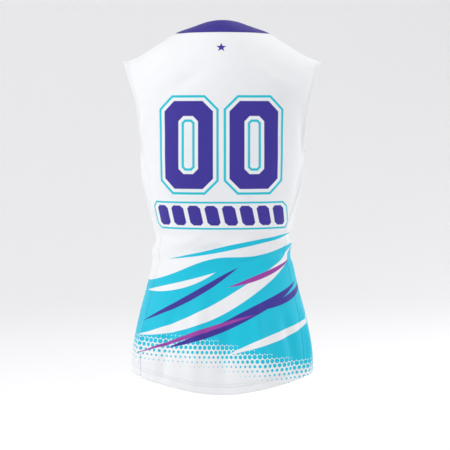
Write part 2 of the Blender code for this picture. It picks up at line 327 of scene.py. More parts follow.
def yoke_point(panel, half_width, bend, form_width):
    """Points of the yoke, where the cloth leans in to the shoulder line."""
    power = 2 / panel.bend_roundness
    square = section_value("square", YOKE_LEVEL)
    depth = section_value(SIDES[panel.facing][0] + "depth", YOKE_LEVEL)
    depth = depth * np.clip(1 - (half_width / form_width) ** square, 0, 1) ** (1 / square)
    y = panel.facing * depth * np.clip(np.cos(bend), 0, 1) ** power
    rise = (shoulder_height(half_width) - panel.bend_level) * np.sin(bend) ** power
    return np.stack([half_width, y, panel.bend_level + rise], axis=-1)


def top_edge(panel, side):
    """Half-width and height of the panel's top edge: the neckline, then the shoulder seam."""
    round_neck = np.pi / 2 * np.clip(side / panel.neck_share, 0, 1)
    along = np.clip((side - panel.neck_share) / (1 - panel.neck_share), 0, 1)
    shoulder = NECK_HALF_WIDTH + (SHOULDER_HALF_WIDTH - NECK_HALF_WIDTH) * along
    on_neck = side <= panel.neck_share
    half_width = np.where(on_neck, NECK_HALF_WIDTH * np.sin(round_neck), shoulder)
    neck_height = NECK_HEIGHT - panel.neck_drop * np.cos(round_neck)
    return half_width, np.where(on_neck, neck_height, shoulder_height(half_width))


def yoke_rows(panel, side, climb):
    """Rows of the yoke. climb is 0 at the yoke's start and 1 at the top edge."""
    start = armhole_rows(panel, side, np.full_like(side, YOKE_LEVEL))[..., 0]
    end_width, end_height = top_edge(panel, side)
    half_width = start + (end_width - start) * np.sin(np.pi / 2 * climb) ** YOKE_SPREAD
    start_bend = bend_at(panel, start, YOKE_LEVEL)
    end_bend = bend_at(panel, end_width, end_height)
    start_form = section_value(SIDES[panel.facing][0] + "width", YOKE_LEVEL)
    form_width = start_form + (ARM_WIDTH - start_form) * climb
    bend = start_bend + (end_bend - start_bend) * climb
    return yoke_point(panel, half_width, bend, form_width)


print("back's shoulder seam starts at", yoke_rows(BACK, BACK.neck_share, 1.0).round(1))

# %% Points of a panel
TOP_RISE = 3.0


def row_levels(rise):
    """Levels of the rows below the underarm, and of those beside the armhole."""
    below = HEM_LEVEL + (UNDERARM_LEVEL - HEM_LEVEL) * np.clip(rise, 0, 1)
    beside = UNDERARM_LEVEL + (YOKE_LEVEL - UNDERARM_LEVEL) * np.clip(rise - 1, 0, 1)
    return below, beside


def panel_point(panel, share, rise):
    """Points of a panel. share is -1 to 1 across; rise is 0 at the hem, 1 at the underarm,
    2 at the yoke and 3 at the top."""
    share, rise = np.broadcast_arrays(np.asarray(share, float), np.asarray(rise, float))
    side = np.abs(share)
    below, beside = row_levels(rise)
    zone = rise[..., None]
    point = np.where(zone <= 1, body_rows(panel, side, below),
                     np.where(zone <= 2, armhole_rows(panel, side, beside),
                              yoke_rows(panel, side, np.clip(rise - 2, 0, 1))))
    point[..., 0] *= np.sign(share)
    return point


print("back at the waist:", panel_point(BACK, 0, 0.6).round(1))

# %% [markdown]
# ## Creases
#
# A fitted knit has no sharp folds. It pulls into long soft ridges from the armholes towards the
# waist, gathers in short troughs where the waist is narrow, and falls in low waves at the hem.
# A noise texture would spread them evenly, so each one is given one by one: where it starts
# and ends on the body, how much it bows, and its width and depth. Turns are degrees round the
# body from the centre of the back over the wearer's left, levels are heights, and a depth below
# zero is a trough. The front's creases, which the photograph doesn't show, are of the same kind.

# %% The creases
Crease = namedtuple("Crease", "start_turn start_level end_turn end_level bow width depth")
CREASES = (
    # the back: from the neck, and pulls from the armholes that pass the number by
    Crease(20, -44, 50, -84, -5, 13, -2.4),
    Crease(-26, -36, -56, -80, -6, 12, 2.2),
    Crease(66, -124, 70, -182, 6, 9, 2.6),
    Crease(-64, -118, -69, -190, -5, 8, -2.4),
    Crease(75, -206, 69, -270, 6, 8, -3.4),
    Crease(81, -212, 75, -298, -7, 9, 3.2),
    Crease(-74, -202, -70, -262, -6, 8, -3.2),
    Crease(-80, -216, -75, -306, 7, 9, 3.4),
    # the back: the small of the back, below the row of blocks
    Crease(-36, -339, 4, -353, -5, 8, 4.4),
    Crease(-20, -356, 30, -366, 5, 8, -4.7),
    Crease(-10, -374, 42, -390, 5, 10, 4.4),
    Crease(-48, -362, -10, -382, -6, 8, -4.0),
    Crease(26, -338, 60, -351, -5, 8, 3.8),
    # the sides at the waist, across the side seams
    Crease(52, -338, 96, -352, 8, 8, -4.3),
    Crease(58, -358, 108, -366, -6, 10, 3.9),
    Crease(48, -376, 88, -398, 5, 9, -3.3),
    Crease(-50, -334, -102, -346, -7, 8, -4.2),
    Crease(-56, -350, -92, -364, 5, 9, 4.2),
    Crease(-46, -372, -98, -390, 7, 10, -3.4),
    # the back: low waves down to the hem
    Crease(22, -438, 27, -604, 4, 14, 5.4),
    Crease(44, -462, 50, -600, -5, 12, -5.2),
    Crease(-4, -470, 2, -612, 5, 15, -5.0),
    Crease(-28, -446, -33, -606, -4, 13, 5.0),
    Crease(-52, -472, -57, -598, 5, 13, -5.4),
    Crease(68, -486, 72, -592, 3, 11, 4.6),
    Crease(-74, -470, -70, -590, -3, 11, 4.7),
    # the front: from the bust towards the sides and the waist
    Crease(112, -214, 140, -262, 8, 9, -3.9),
    Crease(118, -236, 150, -300, -9, 11, 3.8),
    Crease(108, -262, 136, -330, 7, 9, -3.3),
    Crease(-110, -210, -142, -252, -8, 10, -4.2),
    Crease(-116, -230, -152, -294, 9, 12, 3.4),
    Crease(-107, -258, -132, -326, -7, 9, -3.0),
    Crease(160, -258, 166, -378, 6, 14, 3.3),
    Crease(-162, -262, -170, -386, -5, 15, -3.0),
    Crease(150, -334, 196, -350, 7, 10, -3.9),
    Crease(142, -360, 186, -374, -6, 11, 3.8),
    Crease(-150, -348, -186, -366, 6, 9, -3.4),
    Crease(124, -132, 150, -190, 6, 12, 3.0),
    Crease(-122, -126, -148, -186, -6, 11, 3.3),
    Crease(172, -96, 196, -118, 5, 13, -2.4),
    Crease(98, -478, 102, -590, 4, 13, -3.9),
    Crease(128, -452, 122, -596, -4, 15, 4.3),
    Crease(152, -470, 156, -598, 5, 16, -4.3),
    Crease(178, -446, 182, -600, -4, 17, 4.2),
    Crease(-154, -466, -150, -598, 4, 15, -4.2),
    Crease(-128, -454, -133, -596, -5, 15, 3.9),
    Crease(-102, -476, -99, -590, 3, 12, -3.8),
)
print(len(CREASES), "creases placed by hand")

# %% Pressing a crease in
CREASE_STEPS = 72       # points along a crease's middle line
CREASE_REACH = 2.6      # widths from its middle line at which a crease has died out
CREASE_SKEW = 0.7       # how much steeper a crease is on one side than on the other
CREASE_END = 0.06       # part of its arch that is cut off at either end of a crease
CREASE_FULLNESS = 0.8   # below 1 a crease swells quickly from its ends and stays full
SEAM_CALM = 0.22        # part of the yoke over which creases die out up to its top edge
QUARTER_TURN = 90       # in degrees


def on_body(turn, level):
    """Point of the form at a turn from the centre of the back, in degrees, and a level."""
    turn = (turn + 2 * QUARTER_TURN) % (4 * QUARTER_TURN) - 2 * QUARTER_TURN
    panel = BACK if abs(turn) <= QUARTER_TURN else FRONT
    quarter = np.radians(QUARTER_TURN - abs(turn)) * panel.facing
    point = body_point(panel, quarter, np.float64(level))
    return point * (math.copysign(1, turn), 1, 1)


def crease_line(crease):
    """Points along the middle of one crease."""
    line = []
    for share in np.linspace(0, 1, CREASE_STEPS):
        turn = crease.start_turn + (crease.end_turn - crease.start_turn) * share
        level = crease.start_level + (crease.end_level - crease.start_level) * share
        line.append(on_body(turn, level + crease.bow * math.sin(math.pi * share)))
    return np.array(line)


CREASE_LINES = [crease_line(crease) for crease in CREASES]


def crease_depth(points, normals, rise):
    """How far the creases lift or sink each point of the cloth."""
    flat = points.reshape(-1, 3)
    outward = normals.reshape(-1, 3)
    depth = np.zeros(len(flat))
    for crease, line in zip(CREASES, CREASE_LINES):
        margin = crease.width * CREASE_REACH
        near = np.flatnonzero(((flat > line.min(0) - margin)
                               & (flat < line.max(0) + margin)).all(1))
        gaps = np.linalg.norm(flat[near, None] - line[None], axis=2)
        nearest = gaps.argmin(1)
        along = nearest / (CREASE_STEPS - 1)
        swell = np.sin(np.pi * (CREASE_END + (1 - 2 * CREASE_END) * along)) ** CREASE_FULLNESS
        beside = np.cross(np.gradient(line, axis=0)[nearest], outward[near])
        beside /= np.linalg.norm(beside, axis=1, keepdims=True)
        side = ((flat[near] - line[nearest]) * beside).sum(axis=1) / crease.width
        profile = np.exp(-(gaps.min(1) / crease.width) ** 2) * (1 - CREASE_SKEW * side)
        depth[near] += crease.depth * swell * profile
    calm = np.clip((TOP_RISE - rise) / SEAM_CALM, 0, 1)
    return depth.reshape(rise.shape) * calm * calm * (3 - 2 * calm)


print("the longest crease is",
      round(max(np.linalg.norm(line[-1] - line[0]) for line in CREASE_LINES)), "mm")

# %% [markdown]
# ## A panel's cloth
#
# On the table a panel is one flat piece of knit. Its hem and armholes are turned in and sewn
# down, and at the seams its edges bend inwards and lie open on the inside. So the mesh is a
# fine grid on the form, and along each edge it goes on: round a small half circle, then back
# under the panel as a flap. Solidify then gives the knit its thickness.

# %% Sizes of the cloth
FABRIC = 0.75           # thickness of the knit
FOLD_RADIUS = 1.0       # outer radius where an edge is folded
SEAM_GAP = 0.3
CELL = 3.4              # size of the grid's cells
HEM_TURN = 20           # width of the turned hem
ARMHOLE_TURN = 10
SEAM_TURN = 7           # cloth left inside beyond a seam
HEM_ROWS = (14, 18.5)   # distances of the hem's rows of stitches from its edge
ARMHOLE_ROWS = (4.2, 8.6)
FOLD_STEPS = 4
print("knit", FABRIC, "mm thick on a grid of", CELL, "mm cells")

# %% Measuring a grid


def unit(vectors):
    """The same directions with length 1."""
    return vectors / np.linalg.norm(vectors, axis=-1, keepdims=True)


def arc_lengths(points):
    """Distance along a line of points from its first one."""
    steps = np.linalg.norm(np.diff(points, axis=0), axis=1)
    return np.concatenate([[0], np.cumsum(steps)])


def grid_normals(points, facing):
    """Directions out of the cloth at each point of a grid."""
    across = np.gradient(points, axis=1)
    upward = np.gradient(points, axis=0)
    return unit(np.cross(upward, across)) * facing


shoulder_seam = panel_point(BACK, np.linspace(BACK.neck_share, 1), TOP_RISE)
print("shoulder seam:", round(float(arc_lengths(shoulder_seam)[-1])), "mm")

# %% Places on the cut
LINE_PARTS = 7          # parts of each step of a line that distances are taken from


def cut_places(points, rise):
    """Where each point of a grid lies on the flat cut: across from the centre line, and up.
    Up is the height on the body, and above the yoke the length of cloth."""
    steps = np.linalg.norm(np.diff(points, axis=1), axis=2)
    across = np.concatenate([np.zeros((len(steps), 1)), np.cumsum(steps, axis=1)], axis=1)
    across -= across[:, [across.shape[1] // 2]]
    climb = np.linalg.norm(np.diff(points, axis=0), axis=2)
    climbed = np.concatenate([np.zeros((1, climb.shape[1])),
                              np.cumsum(np.where(rise[1:] > 2, climb, 0), axis=0)])
    start = np.flatnonzero(rise[:, 0] <= 2)[-1]
    height = np.where(rise <= 2, points[..., 2], points[start, :, 2] + climbed)
    return np.stack([across, height], axis=-1)


def distances_from(lines, points):
    """Distance of each point of a grid from the nearest of some lines."""
    ends = [np.linspace(line[:-1], line[1:], LINE_PARTS, endpoint=False).reshape(-1, 3)
            for line in lines]
    ends = np.concatenate(ends)
    tree = KDTree(len(ends))
    for number, end in enumerate(ends):
        tree.insert(end, number)
    tree.balance()
    nearest = [tree.find(point)[2] for point in points.reshape(-1, 3)]
    return np.array(nearest).reshape(points.shape[:2])


def edge_distances(points, rise):
    """Distance of each point from the panel's hem and from its armholes."""
    above_seam = rise[:, 0] >= 1
    armholes = (points[above_seam, 0], points[above_seam, -1])
    return np.stack([distances_from(points[:1], points), distances_from(armholes, points)],
                    axis=-1)


print("distances are taken from", LINE_PARTS, "points for each step of an edge")

# %% Evening out the rows
SPREAD_FROM = 0.62      # rise of the lowest of the front's rows that are evened out
SPREAD_ROUNDS = 700
SPREAD_RADIUS = 130     # rough radius of the body, to compare its turns with its levels


def spread_rows(panel, share, rise, points):
    """Even out the front's rows round the foot of the armhole, where they would crowd and
    cross. Each place moves to the weighted mean of its neighbours, on the same form, until the
    rows and columns cross squarely. The edges, the centre line and the other rows stay."""
    rows = np.flatnonzero((rise[:, 0] >= SPREAD_FROM) & (rise[:, 0] <= 2))
    centre = share.shape[1] // 2
    side, climb = share[rows, centre:], rise[rows, centre:]
    below, beside = row_levels(climb)
    turn, level = armhole_place(panel, side, beside)
    turn = np.where(climb < 1, body_turn(panel, side, below), turn)
    grid = np.stack([turn * SPREAD_RADIUS, np.where(climb < 1, below, level)])
    for _ in range(SPREAD_ROUNDS):
        left, right = grid[:, 1:-1, :-2], grid[:, 1:-1, 2:]
        low, high = grid[:, :-2, 1:-1], grid[:, 2:, 1:-1]
        along, upward = (right - left) / 2, (high - low) / 2
        twist = (grid[:, 2:, 2:] - grid[:, 2:, :-2] - grid[:, :-2, 2:] + grid[:, :-2, :-2]) / 4
        tall, lean, wide = (upward ** 2).sum(0), (along * upward).sum(0), (along ** 2).sum(0)
        grid[:, 1:-1, 1:-1] = (tall * (right + left) + wide * (high + low)
                               - 2 * lean * twist) / (2 * (tall + wide))
    spread = body_point(panel, grid[0] / SPREAD_RADIUS, grid[1])
    points[rows, centre:] = spread
    points[rows, :centre + 1] = spread[:, ::-1] * (-1, 1, 1)
    return points


print(SPREAD_ROUNDS, "rounds for the rows from", SPREAD_FROM, "of the way up to the underarm")

# %% The panels' grids
Zone = namedtuple("Zone", "name first_rise length")
ZONES = (Zone("body", 0, 395), Zone("armhole", 1, 90), Zone("yoke", 2, 165))
NEAR_HEM = 0.05         # rise of the panel's widest row

Cloth = namedtuple("Cloth", "points normals share rise flat")


def cloth_normals(panel, points, share):
    """Directions out of a panel's cloth. Along the shoulder seams the cloth stands square to
    the shoulder line."""
    normals = grid_normals(points, panel.facing)
    on_seam = np.abs(share[-1]) >= panel.neck_share
    x = points[-1, :, 0]
    slope = (shoulder_height(np.abs(x) + 1) - shoulder_height(np.abs(x) - 1)) / 2
    level = np.stack([-slope * np.sign(x), np.zeros_like(x), np.ones_like(x)], axis=-1)
    normals[-1, on_seam] = unit(level)[on_seam]
    return normals


def panel_grid(panel):
    """The panel's grid of points up to its seams and edges. The print is laid on the smooth
    cloth, and the creases are pressed in after it."""
    widest = arc_lengths(panel_point(panel, np.linspace(0, 1), NEAR_HEM))[-1]
    columns = 2 * round(widest / CELL) + 1
    rises = [zone.first_rise + np.arange(0, 1, CELL / zone.length) for zone in ZONES]
    rises = np.concatenate(rises + [[len(ZONES)]])
    share, rise = np.meshgrid(np.linspace(-1, 1, columns), rises)
    points = panel_point(panel, share, rise)
    if panel is FRONT:
        points = spread_rows(panel, share, rise, points)
    flat = np.concatenate([cut_places(points, rise), edge_distances(points, rise)], axis=2)
    normals = cloth_normals(panel, points, share)
    points = points + normals * crease_depth(points, normals, rise)[..., None]
    return Cloth(points, cloth_normals(panel, points, share), share, rise, flat)


back_grid = panel_grid(BACK)
front_grid = panel_grid(FRONT)
print("back grid", back_grid.share.shape, "front grid", front_grid.share.shape)

# %% Turns round the body


def turns_round(panel, cloth):
    """Turn of each point round the body from the centre of the back, as a part of a circle."""
    edge = np.pi / 2 - seam_turn(panel, row_levels(cloth.rise)[0])
    quarter = edge * cloth.share / (2 * np.pi)
    return quarter if panel.facing > 0 else 0.5 - quarter


for name, grid in (("back", back_grid), ("front", front_grid)):
    print(name, "cut:", round(float(np.ptp(grid.flat[..., 0]))), "mm wide,",
          round(float(np.ptp(grid.flat[..., 1]))), "mm long without its turns")

# %% The edges of a panel
Edge = namedtuple("Edge", "points normals outward")


def edge_of(points, normals, away):
    """An edge with its directions in the cloth, square to it, that point off the panel."""
    outward = unit(np.cross(np.gradient(points, axis=0), normals))
    outward *= np.sign((outward * away).sum(axis=-1, keepdims=True))
    return Edge(points, normals, outward)


def seen_from(name, grid):
    """A grid turned so that its lines count from the named edge into the panel."""
    if name in ("left", "right"):
        grid = grid.swapaxes(0, 1)
    return grid[::-1] if name in ("top", "right") else grid


def panel_edges(panel, cloth):
    """The panel's hem, top, left and right edges."""
    edges = {}
    for name in ("hem", "top", "left", "right"):
        line, next_line = seen_from(name, cloth.points)[:2]
        edges[name] = edge_of(line, seen_from(name, cloth.normals)[0], line - next_line)
    on_shoulder = np.abs(cloth.share[-1]) >= panel.neck_share
    edges["top"].outward[on_shoulder] = (0, -panel.facing, 0)
    return edges


back_edges = panel_edges(BACK, back_grid)
front_edges = panel_edges(FRONT, front_grid)
for name, edges in (("back", back_edges), ("front", front_edges)):
    print(name, {side: round(float(arc_lengths(edge.points)[-1])) for side, edge in edges.items()})

# %% Folding the edges under


def round_fold(points, outward, normals, radius):
    """Lines of points round the half circle where cloth folds back under itself."""
    lines = []
    for step in range(1, FOLD_STEPS + 1):
        turn = np.pi * step / FOLD_STEPS
        lines.append(points + outward * radius * math.sin(turn)
                     - normals * radius * (1 - math.cos(turn)))
    return lines


def folded_strip(edge, inner_points, inner_normals):
    """Lines of points round the fold of an edge, then of the flap behind the cloth."""
    flap = [points - normals * 2 * FOLD_RADIUS
            for points, normals in zip(inner_points, inner_normals)]
    return round_fold(edge.points, edge.outward, edge.normals, FOLD_RADIUS) + flap


def strip_length(number):
    """Length of cloth from an edge to a line of its folded strip."""
    fold = math.pi * FOLD_RADIUS
    if number < FOLD_STEPS:
        return fold * (number + 1) / FOLD_STEPS
    return fold + CELL * (number + 1 - FOLD_STEPS)


def cells(length):
    """How many cells of the grid a length of cloth takes."""
    return round(length / CELL)


print("hem turned", HEM_TURN, "mm in", cells(HEM_TURN), "cells, armholes", ARMHOLE_TURN, "mm")

# %% Laying the folded strips
# How a millimetre off each edge changes a place: across and up the cut, the distances from
# the hem and from the armholes, which count down below zero, and the turn round the body.
OFF_EDGE = {
    "hem": (0, -1, -1, 0, 0),
    "top": (0, 1, 0, 0, 0),
    "left": (-1, 0, 0, -1, 0),
    "right": (1, 0, 0, -1, 0),
}


def fold_panel(panel, cloth, edges):
    """Extend a panel's grid round its folded edges. Places that have no cloth hold nan.
    Gives the points, their places on the cut, their distances from its edges and their turn
    round the body, and where the panel's own grid starts and how large it is."""
    points = cloth.points.copy()
    rows, columns = cloth.share.shape
    for name, edge in edges.items():
        room = 0 if name == "hem" else SEAM_GAP / 2
        seen_from(name, points)[0] -= edge.outward * (FOLD_RADIUS + room)
    flat = np.concatenate([cloth.flat, turns_round(panel, cloth)[..., None]], axis=2)
    flap, allowance = cells(ARMHOLE_TURN), cells(SEAM_TURN)
    low, high, wide = (FOLD_STEPS + lines for lines in (cells(HEM_TURN), allowance, flap))
    size = (low + rows + high, wide + columns + wide)
    whole = np.full(size + points.shape[2:], np.nan)
    places = np.full(size + flat.shape[2:], np.nan)
    own_rows, own_columns = slice(low, low + rows), slice(wide, wide + columns)
    whole[own_rows, own_columns] = points
    places[own_rows, own_columns] = flat
    for name, margin in (("hem", low), ("top", high), ("left", wide), ("right", wide)):
        beside = (slice(None), own_columns) if name in ("hem", "top") else own_rows
        strip, strip_places = seen_from(name, whole[beside]), seen_from(name, places[beside])
        own, normals = seen_from(name, points), seen_from(name, cloth.normals)
        flap_rows = slice(1, margin - FOLD_STEPS + 1)
        edge = edges[name]._replace(points=own[0])
        for number, line in enumerate(folded_strip(edge, own[flap_rows], normals[flap_rows])):
            off = np.array(OFF_EDGE[name]) * strip_length(number)
            strip[margin - 1 - number] = line
            strip_places[margin - 1 - number] = seen_from(name, flat)[0] + off

    # no side flap beside the turned hem or the shoulder seam, and a narrow one at a side seam
    below_arm = low + int((cloth.rise[:, 0] <= 1).sum())
    for first, last, cut in ((0, low + cells(HEM_TURN), flap), (0, below_arm, flap - allowance),
                             (low + rows - allowance, low + rows + high, flap)):
        whole[first:last, :cut] = np.nan
        whole[first:last, whole.shape[1] - cut:] = np.nan
    return whole, places, (low, wide, rows, columns)


print("a hem's strip is", round(strip_length(FOLD_STEPS + cells(HEM_TURN) - 1), 1), "mm of cloth")

# %% Faces between the points


def grid_faces(numbers, flip):
    """Four-sided faces between the used points of a grid of point numbers."""
    corners = np.stack([numbers[:-1, :-1], numbers[:-1, 1:], numbers[1:, 1:], numbers[1:, :-1]],
                       axis=-1).reshape(-1, 4)
    corners = corners[(corners >= 0).all(axis=1)]
    return (corners[:, ::-1] if flip else corners).tolist()


def corner_faces(numbers, row, column, down, left, flip):
    """Close the notch between the two folds that meet at a corner of the panel."""
    steps = range(1, FOLD_STEPS)
    along_row = [int(numbers[row + down * step, column]) for step in steps]
    along_column = [int(numbers[row, column + left * step]) for step in steps]
    faces = [[along_row[0], int(numbers[row, column]), along_column[0]]]
    for step in range(FOLD_STEPS - 2):
        faces.append([along_row[step + 1], along_row[step],
                      along_column[step], along_column[step + 1]])
    turned_over = (down * left < 0) != flip
    return [face[::-1] for face in faces] if turned_over else faces


print("a fold's corner is closed with", FOLD_STEPS - 1, "faces")

# %% [markdown]
# ## Inks and knit
#
# The jersey is printed by sublimation: the ink is in the yarn, so it has no edge to feel and
# the weave shows through it. Everything printed is worked out in the material from the place
# on the cut, as distances to simple shapes, so it stays sharp at any size and needs no image.
# A small class lets a sum be written as a sum; each sum adds Math nodes to the shader.

# %% Writing sums as nodes
NODES_IN_COLUMN = 9
NODE_SPACING = (190, 170)


def new_node(tree, kind):
    """Add a node, in columns from left to right so that the tree can be read."""
    count = len(tree.nodes)
    node = tree.nodes.new(kind)
    node.location = (NODE_SPACING[0] * (count // NODES_IN_COLUMN),
                     -NODE_SPACING[1] * (count % NODES_IN_COLUMN))
    return node


def give(socket, value):
    """Feed a socket with a measure, a number or a colour."""
    if isinstance(value, Measure):
        socket.id_data.links.new(value.socket, socket)
    else:
        socket.default_value = value


class Measure:
    """A number or a colour that changes over the cloth."""

    def __init__(self, socket):
        self.socket = socket
        self.tree = socket.id_data

    def take(self, operation, *others):
        """Feed a Math node with this measure and others, and give what comes out."""
        node = new_node(self.tree, "ShaderNodeMath")
        node.operation = operation
        for socket, value in zip(node.inputs, (self, *others)):
            give(socket, value)
        return Measure(node.outputs[0])

    def __add__(self, other):
        return self.take("ADD", other)

    def __sub__(self, other):
        return self.take("SUBTRACT", other)

    def __mul__(self, other):
        return self.take("MULTIPLY", other)

    def __truediv__(self, other):
        return self.take("DIVIDE", other)

    def __abs__(self):
        return self.take("ABSOLUTE")


print("nodes stand", NODES_IN_COLUMN, "to a column")

# %% Masks and inks
PRINT_EDGE = 0.8        # softness of an inked edge
MIX_COLOURS = (6, 7)    # a Mix node's colour inputs, whose names its other inputs share
MIX_RESULT = 2


def sharp_mask(distance, softness=PRINT_EDGE):
    """1 where a distance is above zero, 0 where it is below, with a soft edge."""
    mask = distance / softness + 0.5
    clamp = new_node(distance.tree, "ShaderNodeClamp")
    give(clamp.inputs["Value"], mask)
    return Measure(clamp.outputs[0])


def paint(tree, under, ink, mask):
    """Lay an ink over a colour wherever the mask is 1."""
    mix = new_node(tree, "ShaderNodeMix")
    mix.data_type = "RGBA"
    give(mix.inputs["Factor"], mask)
    for number, colour in zip(MIX_COLOURS, (under, ink)):
        give(mix.inputs[number], colour)
    return Measure(mix.outputs[MIX_RESULT])


print("inked edges are soft over", PRINT_EDGE, "mm")

# %% Node groups
LABEL_KINDS = {"Colour": "NodeSocketColor"}


def add_socket(group, label, way):
    """Give a group an input or output, of the kind that its label has, or a number."""
    kind = LABEL_KINDS.get(label, "NodeSocketFloat")
    group.interface.new_socket(label, in_out=way, socket_type=kind)


def new_group(name, *inputs):
    """A shader node group, followed by each of its inputs as a measure."""
    group = bpy.data.node_groups.new(name, "ShaderNodeTree")
    for label in inputs:
        add_socket(group, label, "INPUT")
    start = new_node(group, "NodeGroupInput")
    return (group, *(Measure(start.outputs[label]) for label in inputs))


def put_out(group, **outputs):
    """Feed the outputs of a group, by their labels."""
    for label in outputs:
        add_socket(group, label, "OUTPUT")
    end = new_node(group, "NodeGroupOutput")
    for label, value in outputs.items():
        give(end.inputs[label], value)
    return group


def use_group(tree, group, **inputs):
    """Place a node group, feed its inputs and give its outputs as measures by label."""
    node = new_node(tree, "ShaderNodeGroup")
    node.node_tree = group
    for label, value in inputs.items():
        give(node.inputs[label], value)
    return {output.name: Measure(output) for output in node.outputs}


print("labels that don't carry a number:", list(LABEL_KINDS))

# %% Materials


def new_material(name):
    """A material with its Principled shader."""
    material = bpy.data.materials.new(name)
    material.use_nodes = True
    return material, material.node_tree.nodes["Principled BSDF"]


def shade_base(shader, colour, shade):
    """Feed the base colour with a colour times a shade."""
    shaded = new_node(shader.id_data, "ShaderNodeVectorMath")
    shaded.operation = "SCALE"
    give(shaded.inputs["Vector"], colour)
    give(shaded.inputs["Scale"], shade)
    give(shader.inputs["Base Color"], Measure(shaded.outputs["Vector"]))


def raise_relief(shader, relief, depth):
    """Feed the normal with a relief. depth is in metres, as the Bump node wants it."""
    bump = new_node(shader.id_data, "ShaderNodeBump")
    give(bump.inputs["Distance"], depth)
    give(bump.inputs["Height"], relief)
    give(shader.inputs["Normal"], Measure(bump.outputs["Normal"]))


def texture(kind, scale, place):
    """A texture node of a scale, laid by a place in space."""
    node = new_node(place.tree, kind)
    give(node.inputs["Scale"], scale)
    give(node.inputs["Vector"], place)
    return node


def place_in_space(tree):
    """The place in the object's own space, for things that have no cut."""
    return Measure(new_node(tree, "ShaderNodeTexCoord").outputs["Object"])


print("materials that came with the frame:", [material.name for material in bpy.data.materials])

# %% The inks
SCREEN_KNEE = 0.04045       # the standard curve of a screen's brightness
SCREEN_SLOPE = 12.92
SCREEN_LIFT = 0.055
SCREEN_POWER = 2.4
SCREEN_FULL = 255


def screen_curve(share):
    """Light of one part of a colour that a screen shows, both from 0 to 1."""
    if share < SCREEN_KNEE:
        return share / SCREEN_SLOPE
    return ((share + SCREEN_LIFT) / (1 + SCREEN_LIFT)) ** SCREEN_POWER


def linear(red, green, blue):
    """A colour seen on a screen, 0 to 255, as the shader wants it."""
    return tuple(screen_curve(value / SCREEN_FULL) for value in (red, green, blue)) + (1,)


WHITE_YARN = linear(240, 241, 243)
INSIDE_YARN = linear(228, 230, 234)
PURPLE_INK = linear(57, 45, 151)
TURQUOISE_INK = linear(4, 195, 223)
CYAN_INK = linear(12, 196, 216)
MAGENTA_INK = linear(158, 62, 163)
print("inks are linear:", [round(value, 3) for value in TURQUOISE_INK])

# %% [markdown]
# ## The print round the hips
#
# The lower half carries a plain flowing pattern all round: a turquoise field with wavy edges,
# taller on the wearer's right, crossed by long ribbons with pointed ends, and fading to the
# hem in dots. It could be painted as an image, but shapes worked out in the material
# stay sharp. Its two directions are the turn round the body and the height, so it runs on over
# the side seams. A ribbon is a curve in those two, and its width shrinks to nothing at its ends.

# %% The wavy field and its dots
WavyEdge = namedtuple("WavyEdge", "level swing shift ripple times ripple_shift")
FIELD_TOP = WavyEdge(-386, -28, -0.2, 8, 3, 0.6)
FIELD_FOOT = WavyEdge(-531, 22, 0.3, 7, 2, 1.1)
DOTS_ROUND = 96         # dots in one row round the body
DOT_SPACING = 9.4
DOT_ROW_SPACING = 8.2
DOT_RADIUS = 5.2
DOT_FADE = 58           # height over which the dots shrink to nothing


def wavy_level(turn, edge):
    """Height of a wavy edge at each turn round the body."""
    wave = (turn + edge.shift).take("SINE") * edge.swing
    ripple = (turn * edge.times + edge.ripple_shift).take("SINE") * edge.ripple
    return wave + ripple + edge.level


def dots_below(turn, height, foot):
    """Distance into dots that shrink with the distance below the field's foot."""
    row = (height / DOT_ROW_SPACING).take("FLOOR")
    across = turn * (DOTS_ROUND / (2 * math.pi)) + row.take("MODULO", 2) * 0.5
    x = (across.take("FRACT") - 0.5) * DOT_SPACING
    y = ((height / DOT_ROW_SPACING).take("FRACT") - 0.5) * DOT_ROW_SPACING
    from_middle = (x * x + y * y).take("SQRT")
    depth = (foot - height) / DOT_FADE
    return (depth * -DOT_RADIUS + DOT_RADIUS) - from_middle


print("dots", round(2 * DOT_RADIUS, 1), "mm wide at the field's foot,", DOTS_ROUND, "in a row")

# %% The ribbons
Ribbon = namedtuple("Ribbon", "ink turn level slope bend reach half_width")
RIBBONS = (
    # round the back
    Ribbon(TURQUOISE_INK, -14, -357, -18, 0, 72, 4.5),
    Ribbon(WHITE_YARN, -8, -452, -58, 9, 80, 13.0),
    Ribbon(WHITE_YARN, -46, -512, -40, 0, 42, 7.0),
    Ribbon(WHITE_YARN, 42, -424, -30, 14, 34, 6.0),
    Ribbon(PURPLE_INK, -16, -480, -52, 4, 62, 9.0),
    Ribbon(PURPLE_INK, 26, -438, -64, -6, 44, 6.5),
    Ribbon(PURPLE_INK, -64, -446, -44, 10, 30, 5.5),
    Ribbon(MAGENTA_INK, 20, -503, -42, -10, 50, 4.0),
    Ribbon(MAGENTA_INK, -40, -408, -38, 12, 34, 4.5),
    # round the front, of the same kind
    Ribbon(TURQUOISE_INK, 176, -356, -44, -4, 78, 4.0),
    Ribbon(WHITE_YARN, 184, -458, -54, -8, 78, 12.0),
    Ribbon(WHITE_YARN, 128, -506, -40, 6, 40, 7.0),
    Ribbon(PURPLE_INK, 172, -486, -50, 6, 60, 8.5),
    Ribbon(PURPLE_INK, 222, -438, -58, 5, 42, 6.5),
    Ribbon(PURPLE_INK, 112, -452, -46, -8, 32, 5.5),
    Ribbon(MAGENTA_INK, 206, -506, -40, -8, 46, 4.0),
    Ribbon(MAGENTA_INK, 146, -414, -40, 10, 36, 4.5),
)


def ribbon_distance(turn, height, ribbon):
    """Distance into a ribbon from its nearer edge."""
    away = (turn - math.radians(ribbon.turn)).take("WRAP", math.pi, -math.pi)
    middle = away * away * ribbon.bend + away * ribbon.slope + ribbon.level
    part = away / math.radians(ribbon.reach)
    width = (part * part * -1 + 1) * ribbon.half_width
    return width - abs(height - middle)


